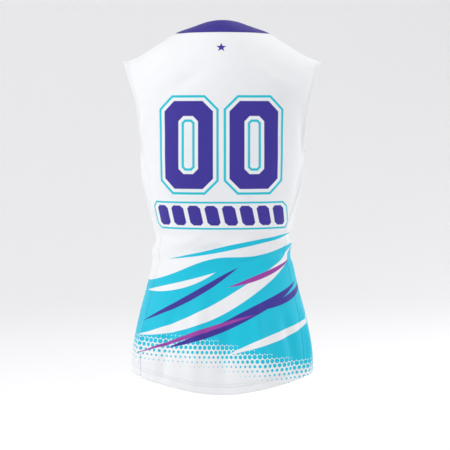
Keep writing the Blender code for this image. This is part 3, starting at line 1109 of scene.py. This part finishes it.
def make_hip_print():
    """Node group that gives the printed colour at a turn round the body and a height."""
    group, part, height = new_group("hip_print", "Turn", "Height")
    turn = part * (2 * math.pi)
    top = wavy_level(turn, FIELD_TOP)
    foot = wavy_level(turn, FIELD_FOOT)
    field = (height - foot).take("MAXIMUM", dots_below(turn, height, foot))
    inked = sharp_mask(field.take("MINIMUM", top - height))
    colour = paint(group, WHITE_YARN, TURQUOISE_INK, inked)
    for ribbon in RIBBONS:
        mask = sharp_mask(ribbon_distance(turn, height, ribbon))
        colour = paint(group, colour, ribbon.ink, mask)
    return put_out(group, Colour=colour)


hip_print = make_hip_print()
print(len(RIBBONS), "ribbons;", len(hip_print.nodes), "nodes")

# %% [markdown]
# ## The number
#
# A player's number stands on the back in block figures with cut corners, white round them and
# an outline. It is a plain double zero, as on a sample jersey. Below it stands a row of eight
# slanted blocks in one outline, and under the neckband a small plain star. A block figure is
# one distance: how far a point lies outside a box with its corners cut off. A figure drawn
# with curve objects would lie on the cloth as a second layer, while this ink is in the yarn.

# %% The number's figures
PRINT_SHIFT = 2         # the print's centre line on the panel
NUMBER_LEVEL = -179
DIGIT_MIDDLE = 57.6     # from the centre line to the middle of a figure
DIGIT_HALF_WIDTH = 43.4
DIGIT_HALF_HEIGHT = 76
DIGIT_CORNER = 18
DIGIT_STROKE = 26
COUNTER_CORNER = 9
OUTLINE_GAP = 5.8       # white between the figure and its outline
OUTLINE_WIDTH = 4.2


def cut_box(x, y, half_width, half_height, corner):
    """Distance outside a box with its corners cut off. x and y are already absolute."""
    flat_sides = (x - half_width).take("MAXIMUM", y - half_height)
    slanted = (x + y - (half_width + half_height - corner)) * math.sqrt(0.5)
    return flat_sides.take("MAXIMUM", slanted)


def line_round(distance, gap, width):
    """Distance into a line that runs round a shape, a gap away from it."""
    return abs(distance - (gap + width / 2)) * -1 + width / 2


def number_shapes(across, height):
    """Distances into the two figures and into the outlines round their strokes."""
    x = abs(abs(across) - DIGIT_MIDDLE)
    y = abs(height - NUMBER_LEVEL)
    figure = cut_box(x, y, DIGIT_HALF_WIDTH, DIGIT_HALF_HEIGHT, DIGIT_CORNER)
    counter = cut_box(x, y, DIGIT_HALF_WIDTH - DIGIT_STROKE, DIGIT_HALF_HEIGHT - DIGIT_STROKE,
                      COUNTER_CORNER)
    outline = line_round(figure, OUTLINE_GAP, OUTLINE_WIDTH).take(
        "MAXIMUM", line_round(counter * -1, OUTLINE_GAP, OUTLINE_WIDTH))
    return (figure * -1).take("MINIMUM", counter), outline


print("figures", 2 * DIGIT_HALF_WIDTH, "by", 2 * DIGIT_HALF_HEIGHT, "mm")

# %% The row of blocks
BLOCKS_LEVEL = -302
BLOCKS_HALF_WIDTH = 122
BLOCK_PITCH = 30.5
BLOCK_HALF_WIDTH = 11.5
BLOCK_HALF_HEIGHT = 17.5
BLOCK_CORNER = 5
BLOCK_SLANT = 0.22
BLOCKS_GAP = 4
BLOCKS_LINE = 3.2


def block_shapes(across, height):
    """Distances into the slanted blocks and into the outline round their row."""
    slanted = across - (height - BLOCKS_LEVEL) * BLOCK_SLANT
    y = abs(height - BLOCKS_LEVEL)
    in_block = abs((slanted / BLOCK_PITCH).take("FRACT") - 0.5) * BLOCK_PITCH
    block = cut_box(in_block, y, BLOCK_HALF_WIDTH, BLOCK_HALF_HEIGHT, BLOCK_CORNER)
    row = cut_box(abs(slanted), y, BLOCKS_HALF_WIDTH, BLOCK_HALF_HEIGHT, BLOCK_CORNER)
    return block.take("MAXIMUM", row) * -1, line_round(row, BLOCKS_GAP, BLOCKS_LINE)


print("blocks:", 2 * BLOCKS_HALF_WIDTH / BLOCK_PITCH)

# %% The star, and all of the back's print
STAR_LEVEL = -6
STAR_POINTS = 5
STAR_RADIUS = 9
STAR_HOLLOW = 3.9       # radius of the corners between its points


def star_distance(x, y):
    """Distance outside a star with one point up."""
    fold = math.pi / STAR_POINTS
    angle = abs(x.take("ARCTAN2", y).take("WRAP", fold, -fold))
    radius = (x * x + y * y).take("SQRT")
    along, off = radius * angle.take("COSINE"), radius * angle.take("SINE")
    rise, run = STAR_HOLLOW * math.sin(fold), STAR_RADIUS - STAR_HOLLOW * math.cos(fold)
    length = math.hypot(rise, run)
    return (along - STAR_RADIUS) * (rise / length) + off * (run / length)


def make_back_print():
    """Node group that prints the number, the blocks and the star over a colour."""
    group, colour, across, height = new_group("back_print", "Colour", "Across", "Height")
    across = across - PRINT_SHIFT
    figures, number_outline = number_shapes(across, height)
    blocks, row_outline = block_shapes(across, height)
    star = star_distance(across, height - STAR_LEVEL) * -1
    cyan = number_outline.take("MAXIMUM", row_outline)
    purple = figures.take("MAXIMUM", blocks).take("MAXIMUM", star)
    colour = paint(group, colour, CYAN_INK, sharp_mask(cyan))
    colour = paint(group, colour, PURPLE_INK, sharp_mask(purple))
    return put_out(group, Colour=colour)


back_print = make_back_print()
print("star", 2 * STAR_RADIUS, "mm;", len(back_print.nodes), "nodes in the back's print")

# %% [markdown]
# ## The knits
#
# The panels are a light pique: rows of tiny dimples that let air through, too small and too
# many to model, so they are bump with a little painted shade in each dimple. The neckband is
# a firm rib, with fine upright ridges and painted shade between them. Both also vary a little
# over a hand's width, as cloth does where it is stretched and where it has been handled, and
# have fine fuzz between the loops.
# Stitches press a groove into the cloth, with painted shade in it, a turned layer lifts it,
# and a folded edge wears first, so those three follow the distance from the edge.

# %% Pique and rib
LOOP_PITCH = 1.1

Grain = namedtuple("Grain", "scale detail")
Parts = namedtuple("Parts", "ridges loops fuzz")
# ridge_shade is painted shade: how much darker the knit is in its hollows
Knit = namedtuple("Knit", "name pitch dimpled fuzz relief ridge_shade fuzz_shade shade")
PIQUE = Knit("pique_knit", 2.4, True, Grain(1.7, 3), Parts(0.5, 0.12, 0.5), 0.018, 0.03, 0.985)
RIB = Knit("rib_knit", 1.9, False, Grain(2.1, 3), Parts(0.6, 0.15, 0.4), 0.09, 0.14, 0.93)


def noise(across, height, grain):
    """A noise over the cut, as a number from 0 to 1."""
    place = new_node(across.tree, "ShaderNodeCombineXYZ")
    give(place.inputs["X"], across)
    give(place.inputs["Y"], height)
    node = texture("ShaderNodeTexNoise", grain.scale, Measure(place.outputs[0]))
    give(node.inputs["Detail"], grain.detail)
    return Measure(node.outputs[0])


def make_knit(knit):
    """Node group of a knit: the height of its relief, and its shade, with painted shade in its
    hollows.
    """
    group, across, height = new_group(knit.name, "Across", "Height")
    turn = 2 * math.pi / knit.pitch
    ridges = (across * turn).take("COSINE")
    if knit.dimpled:
        ridges = ridges * (height * turn).take("COSINE")
    loops = (height * (2 * math.pi / LOOP_PITCH)).take("SINE")
    fuzz = noise(across, height, knit.fuzz)
    part = knit.relief
    relief = ridges * part.ridges + loops * part.loops + fuzz * part.fuzz
    # painted shade: darker in the hollows between the ridges, lighter on the ridges
    shade = ridges * knit.ridge_shade + (fuzz - 0.5) * knit.fuzz_shade + knit.shade
    return put_out(group, Relief=relief, Shade=shade)


pique_knit = make_knit(PIQUE)
rib_knit = make_knit(RIB)
print("pique dimples every", PIQUE.pitch, "mm, ribs every", RIB.pitch, "mm")

# %% Slow change and worn folds
SLOW_CHANGE = Grain(0.011, 2)
SLOW_SHADE = 0.05
PATCHES = Grain(0.045, 3)
PATCH_SHIFT = 340           # keeps the two noises from falling together
PATCH_SHADE = 0.03
PATCH_ROUGHNESS = 0.12
KNIT_ROUGHNESS = 0.62
RUBBING = Grain(0.35, 4)
RUBBED_RANGE = 1.6          # stretches the noise, so that parts of a fold aren't rubbed at all
RUBBED_START = 0.2
WEAR_WIDTH = 3
WEAR_SHADE = 0.14


def make_wear():
    """Node group of the slow change over the cloth: a shade, and its roughness."""
    group, across, height = new_group("cloth_wear", "Across", "Height")
    slow = noise(across, height, SLOW_CHANGE) - 0.5
    patch = noise(across + PATCH_SHIFT, height, PATCHES) - 0.5
    return put_out(group, Shade=slow * SLOW_SHADE + patch * PATCH_SHADE + 1,
                   Roughness=patch * PATCH_ROUGHNESS + KNIT_ROUGHNESS)


def make_fold_wear():
    """Node group of the wear on a folded edge: where it is, and the grey that it gathers."""
    group, across, height, edge = new_group("fold_wear", "Across", "Height", "Edge")
    rubbed = noise(across, height, RUBBING)
    near = (abs(edge) / -WEAR_WIDTH + 1).take("MAXIMUM", 0)
    wear = near * (rubbed * RUBBED_RANGE - RUBBED_START).take("MAXIMUM", 0)
    return put_out(group, Wear=wear, Shade=wear * -WEAR_SHADE + 1)


cloth_wear = make_wear()
fold_wear = make_fold_wear()
print("wear reaches", WEAR_WIDTH, "mm in from a fold")

# %% Grooves beside the edges
GROOVE_WIDTH = 1.1
GROOVE_DEPTH = 1.5      # in heights of the knit's relief
# painted shade in the bottom of each groove of stitches
GROOVE_PAINTED_SHADE = 0.07
LAYER_STEP = 1.0        # how far a turned layer lifts the face, in the same heights
LAYER_EDGE = 3          # softness of that step
LAYER_SHADE = 0.012


def make_stitch_grooves():
    """Node group of the grooves that rows of stitches press into the cloth along a hem, with
    painted shade in each groove.
    """
    group, hem, armhole = new_group("stitch_grooves", "Hem", "Armhole")
    hem, armhole = abs(hem), abs(armhole)
    grooves = None
    for distance, rows in ((hem, HEM_ROWS), (armhole, ARMHOLE_ROWS)):
        for row in rows:
            away = (distance - row) / GROOVE_WIDTH
            groove = (away * away * -1).take("EXPONENT")
            grooves = groove if grooves is None else grooves + groove
    double = sharp_mask((hem * -1 + HEM_TURN).take("MAXIMUM", armhole * -1 + ARMHOLE_TURN),
                        LAYER_EDGE)
    return put_out(group, Relief=double * LAYER_STEP - grooves * GROOVE_DEPTH,
                   Shade=double * LAYER_SHADE - grooves * GROOVE_PAINTED_SHADE + 1)


stitch_grooves = make_stitch_grooves()
print("grooves", HEM_ROWS, "mm from the hem,", ARMHOLE_ROWS, "mm from an armhole")

# %% Finishing a cloth
SHEEN = 0.17
SHEEN_ROUGHNESS = 0.45
SPECULAR = 0.3
WORN_ROUGHNESS = 0.15   # what full wear adds


def cut_coordinates(tree, layer):
    """The two coordinates of a UV map."""
    coordinates = new_node(tree, "ShaderNodeUVMap")
    coordinates.uv_map = layer
    split = new_node(tree, "ShaderNodeSeparateXYZ")
    give(split.inputs[0], Measure(coordinates.outputs[0]))
    return Measure(split.outputs["X"]), Measure(split.outputs["Y"])


def new_cloth(name):
    """A Principled material with a matt knit's sheen."""
    material, shader = new_material(name)
    shader.inputs["Sheen Weight"].default_value = SHEEN
    shader.inputs["Sheen Roughness"].default_value = SHEEN_ROUGHNESS
    shader.inputs["Specular IOR Level"].default_value = SPECULAR
    return material, shader


def finish_cloth(shader, colour, knit, depth, across, height, edge, grooves=None):
    """Shade a colour with the knit, which adds painted shade in its hollows, and with its wear,
    and raise the knit's relief. edge is the distance from a folded edge; grooves are those of
    the rows of stitches beside it, with painted shade in each groove."""
    tree = shader.id_data
    slow = use_group(tree, cloth_wear, Across=across, Height=height)
    loops = use_group(tree, knit, Across=across, Height=height)
    fold = use_group(tree, fold_wear, Across=across, Height=height, Edge=edge)
    shade = slow["Shade"] * loops["Shade"] * fold["Shade"]
    relief = loops["Relief"]
    if grooves:
        shade = shade * grooves["Shade"]
        relief = relief + grooves["Relief"]
    shade_base(shader, colour, shade)
    give(shader.inputs["Roughness"], slow["Roughness"] + fold["Wear"] * WORN_ROUGHNESS)
    raise_relief(shader, relief, depth)


print("sheen", SHEEN, "on every cloth")

# %% The cloths
PIQUE_DEPTH = 0.00022   # in metres, as the Bump node wants it
RIB_DEPTH = 0.0004
GHOST = 0.16            # how much of the print shows through on the inside


def printed_cloth(name, with_number, inside):
    """A panel's printed face, or the white inside with a ghost of the print."""
    material, shader = new_cloth(name)
    tree = shader.id_data
    across, height = (place / METRES for place in cut_coordinates(tree, "cut"))
    turn, level = cut_coordinates(tree, "round")
    hem, armhole = (place / METRES for place in cut_coordinates(tree, "edges"))
    grooves = use_group(tree, stitch_grooves, Hem=hem, Armhole=armhole)
    edge = abs(hem).take("MINIMUM", abs(armhole))
    colour = use_group(tree, hip_print, Turn=turn, Height=level / METRES)["Colour"]
    if with_number:
        printed = use_group(tree, back_print, Colour=colour, Across=across, Height=height)
        colour = printed["Colour"]
    if inside:
        colour = paint(tree, INSIDE_YARN, colour, GHOST)
    finish_cloth(shader, colour, pique_knit, PIQUE_DEPTH, across, height, edge, grooves)
    return material


def band_cloth(name):
    """The neckband's purple rib."""
    material, shader = new_cloth(name)
    across, height = (place / METRES for place in cut_coordinates(shader.id_data, "cut"))
    finish_cloth(shader, PURPLE_INK[:3], rib_knit, RIB_DEPTH, across, height, height)
    return material


back_faces = (printed_cloth("back_print_knit", True, False),
              printed_cloth("back_inside_knit", True, True))
front_faces = (printed_cloth("front_print_knit", False, False),
               printed_cloth("front_inside_knit", False, True))
band_face = band_cloth("band_purple_rib")
print("cloth materials:", len(back_faces) + len(front_faces) + 1)

# %% [markdown]
# ## Making the panels
#
# Each folded grid becomes one mesh, with three UV maps: the place on the cut, which the knit
# and the number follow, the distances from the hem and the armholes, which the grooves and the
# wear follow, and the turn round the body, which the hip print follows. Solidify gives
# the knit its thickness inwards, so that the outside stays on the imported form, and its second
# material shows the print only as a ghost on the inside.

# %% Making a piece of cloth


def lay_uv(mesh, name, places):
    """Give a mesh a UV map from one place for each point."""
    layer = mesh.uv_layers.new(name=name)
    points = np.zeros(len(mesh.loops), np.int32)
    mesh.loops.foreach_get("vertex_index", points)
    layer.data.foreach_set("uv", places[points].astype(np.float32).ravel())


def new_piece(name, points, faces, materials):
    """A smooth mesh object in the scene, from points in millimetres."""
    mesh = bpy.data.meshes.new(name)
    mesh.from_pydata((points * METRES).tolist(), [], faces)
    for material in materials:
        mesh.materials.append(material)
    mesh.shade_smooth()
    piece = bpy.data.objects.new(name, mesh)
    bpy.context.scene.collection.objects.link(piece)
    return piece


def thicken(piece, thickness, inside_material):
    """Give a piece of cloth its thickness, inwards from its outer face."""
    knit = piece.modifiers.new("knit", "SOLIDIFY")
    knit.thickness = thickness * METRES
    knit.offset = -1
    knit.use_even_offset = False
    knit.material_offset = inside_material
    knit.material_offset_rim = inside_material


print("a millimetre is", METRES, "in the scene")

# %% The panels


def make_panel(panel, cloth, edges, name, materials):
    """One panel of the jersey, folded at its edges and thickened."""
    whole, places, (low, wide, rows, columns) = fold_panel(panel, cloth, edges)
    used = ~np.isnan(whole[..., 0])
    numbers = np.full(used.shape, -1)
    numbers[used] = np.arange(used.sum())
    flip = panel.facing > 0
    faces = grid_faces(numbers, flip)
    for row, down in ((low, -1), (low + rows - 1, 1)):
        for column, left in ((wide, -1), (wide + columns - 1, 1)):
            faces += corner_faces(numbers, row, column, down, left, flip)
    piece = new_piece(name, whole[used], faces, materials)
    lay_uv(piece.data, "cut", places[used][:, :2] * METRES)
    lay_uv(piece.data, "edges", places[used][:, 2:4] * METRES)
    lay_uv(piece.data, "round", places[used][:, [4, 1]] * (1, METRES))
    thicken(piece, FABRIC, 1)
    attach(piece, "root")
    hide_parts(panel.name)
    area = sum(face.area for face in piece.data.polygons)
    print(name, len(piece.data.vertices), "points,", round(area, 4), "square metres of cloth")
    return piece


back_cloth = make_panel(BACK, back_grid, back_edges, "back_cloth", back_faces)
front_cloth = make_panel(FRONT, front_grid, front_edges, "front_cloth", front_faces)

# %% [markdown]
# ## The neckband
#
# The band is a strip of rib knit, folded double along its free edge and sewn into the neck. It
# stands up from the neckline and leans in to the neck, a little crowned because two layers
# never lie flat. So it is lofted: from the neckline up to the tilted ring of the free edge,
# over the fold, and back down on the inside. Its short ends are joined, so it is one ring.

# %% Round the neckline
BAND_CELL = 3.0
BELOW_TOP = 2.98        # rise at which the neckline's directions are taken
NORMAL_STEP = 0.002


def directions_near_top(panel, share):
    """Directions out of a panel, just below its neckline."""
    across = (panel_point(panel, share + NORMAL_STEP, BELOW_TOP)
              - panel_point(panel, share - NORMAL_STEP, BELOW_TOP))
    upward = (panel_point(panel, share, BELOW_TOP + NORMAL_STEP)
              - panel_point(panel, share, BELOW_TOP - NORMAL_STEP))
    return unit(np.cross(upward, across)) * panel.facing


def neckline_ring():
    """Points and directions round the neckline, from the wearer's right over the nape."""
    points, directions = [], []
    for panel, order in ((BACK, 1), (FRONT, -1)):
        neck = np.linspace(-panel.neck_share, panel.neck_share)
        length = arc_lengths(panel_point(panel, neck, TOP_RISE))[-1]
        share = np.linspace(-1, 1, round(length / BAND_CELL), endpoint=False)
        share = share * panel.neck_share * order
        points.append(panel_point(panel, share, TOP_RISE))
        directions.append(directions_near_top(panel, share))
    return np.concatenate(points), np.concatenate(directions)


neckline = neckline_ring()[0]
print("neckline:", len(neckline), "points")

# %% The band's free edge
BAND_HALF_WIDTH = 57    # of the ring of its free edge
BAND_SIDE_HEIGHT = 25   # of that ring at the sides of the neck
BAND_SIDE_SET = -2      # how far the sides lie towards the back
BAND_NAPE_DEPTH = 48
BAND_NAPE_RISE = 14.4
BAND_NAPE_CURVE = 2     # power of the rise from the sides to the nape
BAND_THROAT_DEPTH = 64
BAND_THROAT_DROP = 56
BAND_THROAT_CURVE = 1.2


def band_edge(seam):
    """Points of the band's free edge across from the points of its seam."""
    across = np.clip(seam[:, 0] / NECK_HALF_WIDTH, -1, 1)
    along = np.sqrt(1 - across ** 2)
    nape = seam[:, 1] > 0
    y = np.where(nape, BAND_NAPE_DEPTH, -BAND_THROAT_DEPTH) * along
    z = np.where(nape, BAND_NAPE_RISE * along ** BAND_NAPE_CURVE,
                 -BAND_THROAT_DROP * along ** BAND_THROAT_CURVE)
    return np.stack([BAND_HALF_WIDTH * across, BAND_SIDE_SET + y, BAND_SIDE_HEIGHT + z], axis=1)


print("free edge:", 2 * BAND_HALF_WIDTH, "mm across, from",
      round(float(band_edge(neckline)[:, 2].min())), "mm high in front to",
      round(float(band_edge(neckline)[:, 2].max())), "mm at the nape")

# %% Lines of the neckband
BAND_FABRIC = 0.85
BAND_FOLD = 1.1         # outer radius of its folded edges
BAND_CROWN = 2.0        # how far its faces bulge half-way up
BAND_ROWS = 10
FREE_EDGE = FOLD_STEPS + BAND_ROWS + FOLD_STEPS // 2    # the line along the free edge


def blend(first, second, share):
    """Directions part of the way from one set to another."""
    return unit(first * (1 - share) + second * share)


def band_lines():
    """Lines of points round the band: its seam's fold, outer face, free edge, inner face."""
    seam, directions = neckline_ring()
    edge = band_edge(seam)
    along = np.roll(seam, -1, axis=0) - np.roll(seam, 1, axis=0)
    upward = unit(edge - seam)
    slope = unit(np.cross(edge - seam, along))
    height = np.linalg.norm(edge - seam, axis=1, keepdims=True)
    outer, out = [], []
    for row in range(BAND_ROWS + 1):
        shortest = (BAND_FOLD + SEAM_GAP / 2) / height
        climb = shortest + (1 - BAND_FOLD / height - shortest) * row / BAND_ROWS
        out.append(blend(directions, slope, climb))
        crown = BAND_CROWN * 4 * climb * (1 - climb)
        outer.append(seam + (edge - seam) * climb + out[-1] * crown)
    lines = round_fold(outer[0], -upward, out[0], BAND_FOLD)[::-1] + outer
    lines += round_fold(outer[-1], upward, out[-1], BAND_FOLD)[:-1]
    lines += [points - face * 2 * BAND_FOLD for points, face in zip(outer[::-1], out[::-1])]
    return np.array(lines)


print(len(band_lines()), "lines round the band")

# %% Making the neckband
MERGE = 1e-7            # in metres: points that lie on one another


def close_ring(mesh):
    """Join the ring's first and last columns of points."""
    work = bmesh.new()
    work.from_mesh(mesh)
    bmesh.ops.remove_doubles(work, verts=work.verts, dist=MERGE)
    work.to_mesh(mesh)
    work.free()


def make_neckband():
    """The neckband as one closed ring of doubled rib."""
    lines = band_lines()
    lines = np.concatenate([lines, lines[:, :1]], axis=1)
    rows, columns = lines.shape[:2]
    numbers = np.arange(rows * columns).reshape(rows, columns)
    piece = new_piece("neckband_rib", lines.reshape(-1, 3), grid_faces(numbers, True),
                      (band_face,))
    across = arc_lengths(lines[FOLD_STEPS])
    up = arc_lengths(lines[:, 0])
    up -= up[FREE_EDGE]
    across, up = np.meshgrid(across, up)
    lay_uv(piece.data, "cut", np.stack([across, up], axis=-1).reshape(-1, 2) * METRES)
    close_ring(piece.data)
    thicken(piece, BAND_FABRIC, 0)
    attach(piece, "root")
    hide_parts("neckband")
    print("neckband:", round(float(across.max())), "by", round(float(np.ptp(up))), "mm")
    return piece


neckband = make_neckband()

# %% [markdown]
# ## The stitches
#
# Sports knits are hemmed on a machine with two needles, which leaves two even rows of short
# stitches on the outside. A stitch is a thread less than half a millimetre thick that rises out
# of the cloth, bridges nearly three millimetres and dives again. Each is a small spindle of
# thread on the finished cloth, and all the stitches of one kind of seam are joined in one mesh.

# %% Places of the stitches
STITCH_LENGTH = 2.7
STITCH_PITCH = 3.3
SHORTEST_STITCH = 1.8           # a row that runs off the cloth's edge leaves shorter ones out
NECK_ROW = 2.6                  # distances of rows from their seams
SHOULDER_ROW = 3.0
ROW_MARGIN = 2.5                # cloth left free at the ends of a row


def surface_of(piece):
    """A search tree over a piece's cloth."""
    corners = [tuple(face.vertices) for face in piece.data.polygons]
    return BVHTree.FromPolygons([point.co for point in piece.data.vertices], corners)


def stitch_row(surface, edge, inset, keep):
    """Middles, directions and normals of the stitches of one row beside an edge."""
    line = (edge.points - edge.outward * inset)[keep]
    lengths = arc_lengths(line)
    count = int((lengths[-1] - 2 * ROW_MARGIN) / STITCH_PITCH)
    start = (lengths[-1] - count * STITCH_PITCH) / 2
    middles = start + STITCH_PITCH * (np.arange(count) + 0.5)
    row = []
    for middle in middles:
        ends = []
        for place in (middle - STITCH_LENGTH / 2, middle + STITCH_LENGTH / 2):
            point = [np.interp(place, lengths, line[:, axis]) for axis in range(3)]
            ends.append(surface.find_nearest(Vector(point) * METRES))
        bridge = ends[1][0] - ends[0][0]
        if bridge.length < SHORTEST_STITCH * METRES:
            continue
        normal = (ends[0][1] + ends[1][1]).normalized()
        row.append((np.array((ends[0][0] + ends[1][0]) / 2) / METRES,
                    np.array(bridge.normalized()), np.array(normal)))
    return row


print("stitches of", STITCH_LENGTH, "mm, one every", STITCH_PITCH, "mm")

# %% The thread
THREAD_RADIUS = 0.2
THREAD_TWIST = 900          # scale of the wave, for places in metres
# painted shade: the thread is lighter on its plies and darker between them
PLY_PAINTED_SHADE = 0.16
HOLLOW_PAINTED_SHADE = 0.86         # shade between the plies
PLY_GLOSS = 0.12
THREAD_ROUGHNESS = 0.5
PLY_DEPTH = 0.00005
THREAD_SHEEN = 0.15


def thread_material(name, colour):
    """Polyester sewing thread, a little glossier than the knit, twisted from two plies, with
    painted shade between them.
    """
    material, shader = new_material(name)
    place = place_in_space(shader.id_data)
    twist = texture("ShaderNodeTexWave", THREAD_TWIST, place)
    twist.bands_direction = "DIAGONAL"
    plies = Measure(twist.outputs["Fac"])
    shade_base(shader, colour[:3], plies * PLY_PAINTED_SHADE + HOLLOW_PAINTED_SHADE)
    give(shader.inputs["Roughness"], plies * -PLY_GLOSS + THREAD_ROUGHNESS)
    raise_relief(shader, plies, PLY_DEPTH)
    shader.inputs["Sheen Weight"].default_value = THREAD_SHEEN
    return material


white_thread = thread_material("white_thread", linear(236, 238, 240))
print("thread", 2 * THREAD_RADIUS, "mm thick")

# %% Stitches of thread
THREAD_SIDES = 6
# Along a stitch: its place in lengths, its height over the cloth and its radius in radii.
ThreadRing = namedtuple("ThreadRing", "along height radius")
THREAD_RINGS = (
    ThreadRing(-0.5, -0.15, 0.55),
    ThreadRing(-0.36, 0.1, 0.95),
    ThreadRing(0, 0.2, 1),
    ThreadRing(0.36, 0.1, 0.95),
    ThreadRing(0.5, -0.15, 0.55),
)


def make_stitches(name, rows):
    """One joined mesh of all the stitches in some rows."""
    stitches = [stitch for row in rows for stitch in row]
    middle, along, normal = (np.array(part)[:, None, None] for part in zip(*stitches))
    beside = np.cross(normal, along)
    turns = 2 * np.pi * np.arange(THREAD_SIDES) / THREAD_SIDES
    shape = np.array(THREAD_RINGS)[None, :, None, :, None]
    radius = THREAD_RADIUS * shape[:, :, :, 2]
    points = (middle + along * STITCH_LENGTH * shape[:, :, :, 0] + normal * shape[:, :, :, 1]
              + beside * radius * np.cos(turns)[None, None, :, None]
              + normal * radius * np.sin(turns)[None, None, :, None])
    sides = THREAD_SIDES
    size = len(THREAD_RINGS) * sides
    faces = []
    for first in range(0, len(stitches) * size, size):
        for ring in range(first, first + size - sides, sides):
            for side in range(sides):
                this, other = ring + side, ring + (side + 1) % sides
                faces.append((this, this + sides, other + sides, other))
        faces.append(tuple(range(first, first + sides)))
        faces.append(tuple(range(first + size - 1, first + size - sides - 1, -1)))
    piece = new_piece(name, points.reshape(-1, 3), faces, (white_thread,))
    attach(piece, "root")
    print(name, len(stitches), "stitches")
    return piece


print(THREAD_SIDES * (len(THREAD_RINGS) - 1) + 2, "faces in a stitch")

# %% Sewing
back_surface = surface_of(back_cloth)
SEWN = ((BACK, back_grid, back_edges, back_surface),
        (FRONT, front_grid, front_edges, surface_of(front_cloth)))
hem_rows, arm_rows, neck_rows = [], [], []
for panel, cloth, edges, surface in SEWN:
    whole_row = np.full(cloth.share.shape[1], True)
    above_seam = cloth.rise[:, 0] >= 1
    in_neck = np.abs(cloth.share[-1]) <= panel.neck_share
    hem_rows += [stitch_row(surface, edges["hem"], inset, whole_row) for inset in HEM_ROWS]
    arm_rows += [stitch_row(surface, edges[side], inset, above_seam)
                 for side in ("left", "right") for inset in ARMHOLE_ROWS]
    neck_rows.append(stitch_row(surface, edges["top"], NECK_ROW, in_neck))
for side in (-1, 1):
    on_shoulder = back_grid.share[-1] * side >= BACK.neck_share
    neck_rows.append(stitch_row(back_surface, back_edges["top"], SHOULDER_ROW, on_shoulder))

hem_stitches = make_stitches("hem_stitches", hem_rows)
armhole_stitches = make_stitches("armhole_stitches", arm_rows)
neck_stitches = make_stitches("neck_stitches", neck_rows)
print("rows sewn:", len(hem_rows) + len(arm_rows) + len(neck_rows))

# %% [markdown]
# ## The cut sizes
#
# Cut holds the size of a sheet as it is cut while flat, with its turned hem and seam
# allowances: the width and length of the rectangle it needs on the cutting table, and the cut's
# own area inside it.
# The shaped cut wastes cloth beside the waist, the armholes and the neck. The rib is cut
# shorter than the neckline and stretched to it as it is sewn on, so that it lies close.

# %% A cut's size
Cut = namedtuple("Cut", "width length area")

# %% [markdown]
# ## The studio's paint
#
# The sweep is matt and nearly white, as in the photograph, so the jersey's shaded sides stand
# out against it. A faint mottling keeps it from looking like a void.

# %% The sweep's paint
SWEEP_PAINT = linear(251, 251, 252)
SWEEP_ROUGHNESS = 0.9
MOTTLE_SCALE = 0.6
MOTTLE = 0.02           # how far the mottling lightens the paint
MOTTLE_START = 0.99

sweep_paint, shader = new_material("sweep_paint")
mottle = texture("ShaderNodeTexNoise", MOTTLE_SCALE, place_in_space(shader.id_data))
shade_base(shader, SWEEP_PAINT[:3], Measure(mottle.outputs[0]) * MOTTLE + MOTTLE_START)
shader.inputs["Roughness"].default_value = SWEEP_ROUGHNESS
sweep.data.materials.append(sweep_paint)
print("sweep painted")
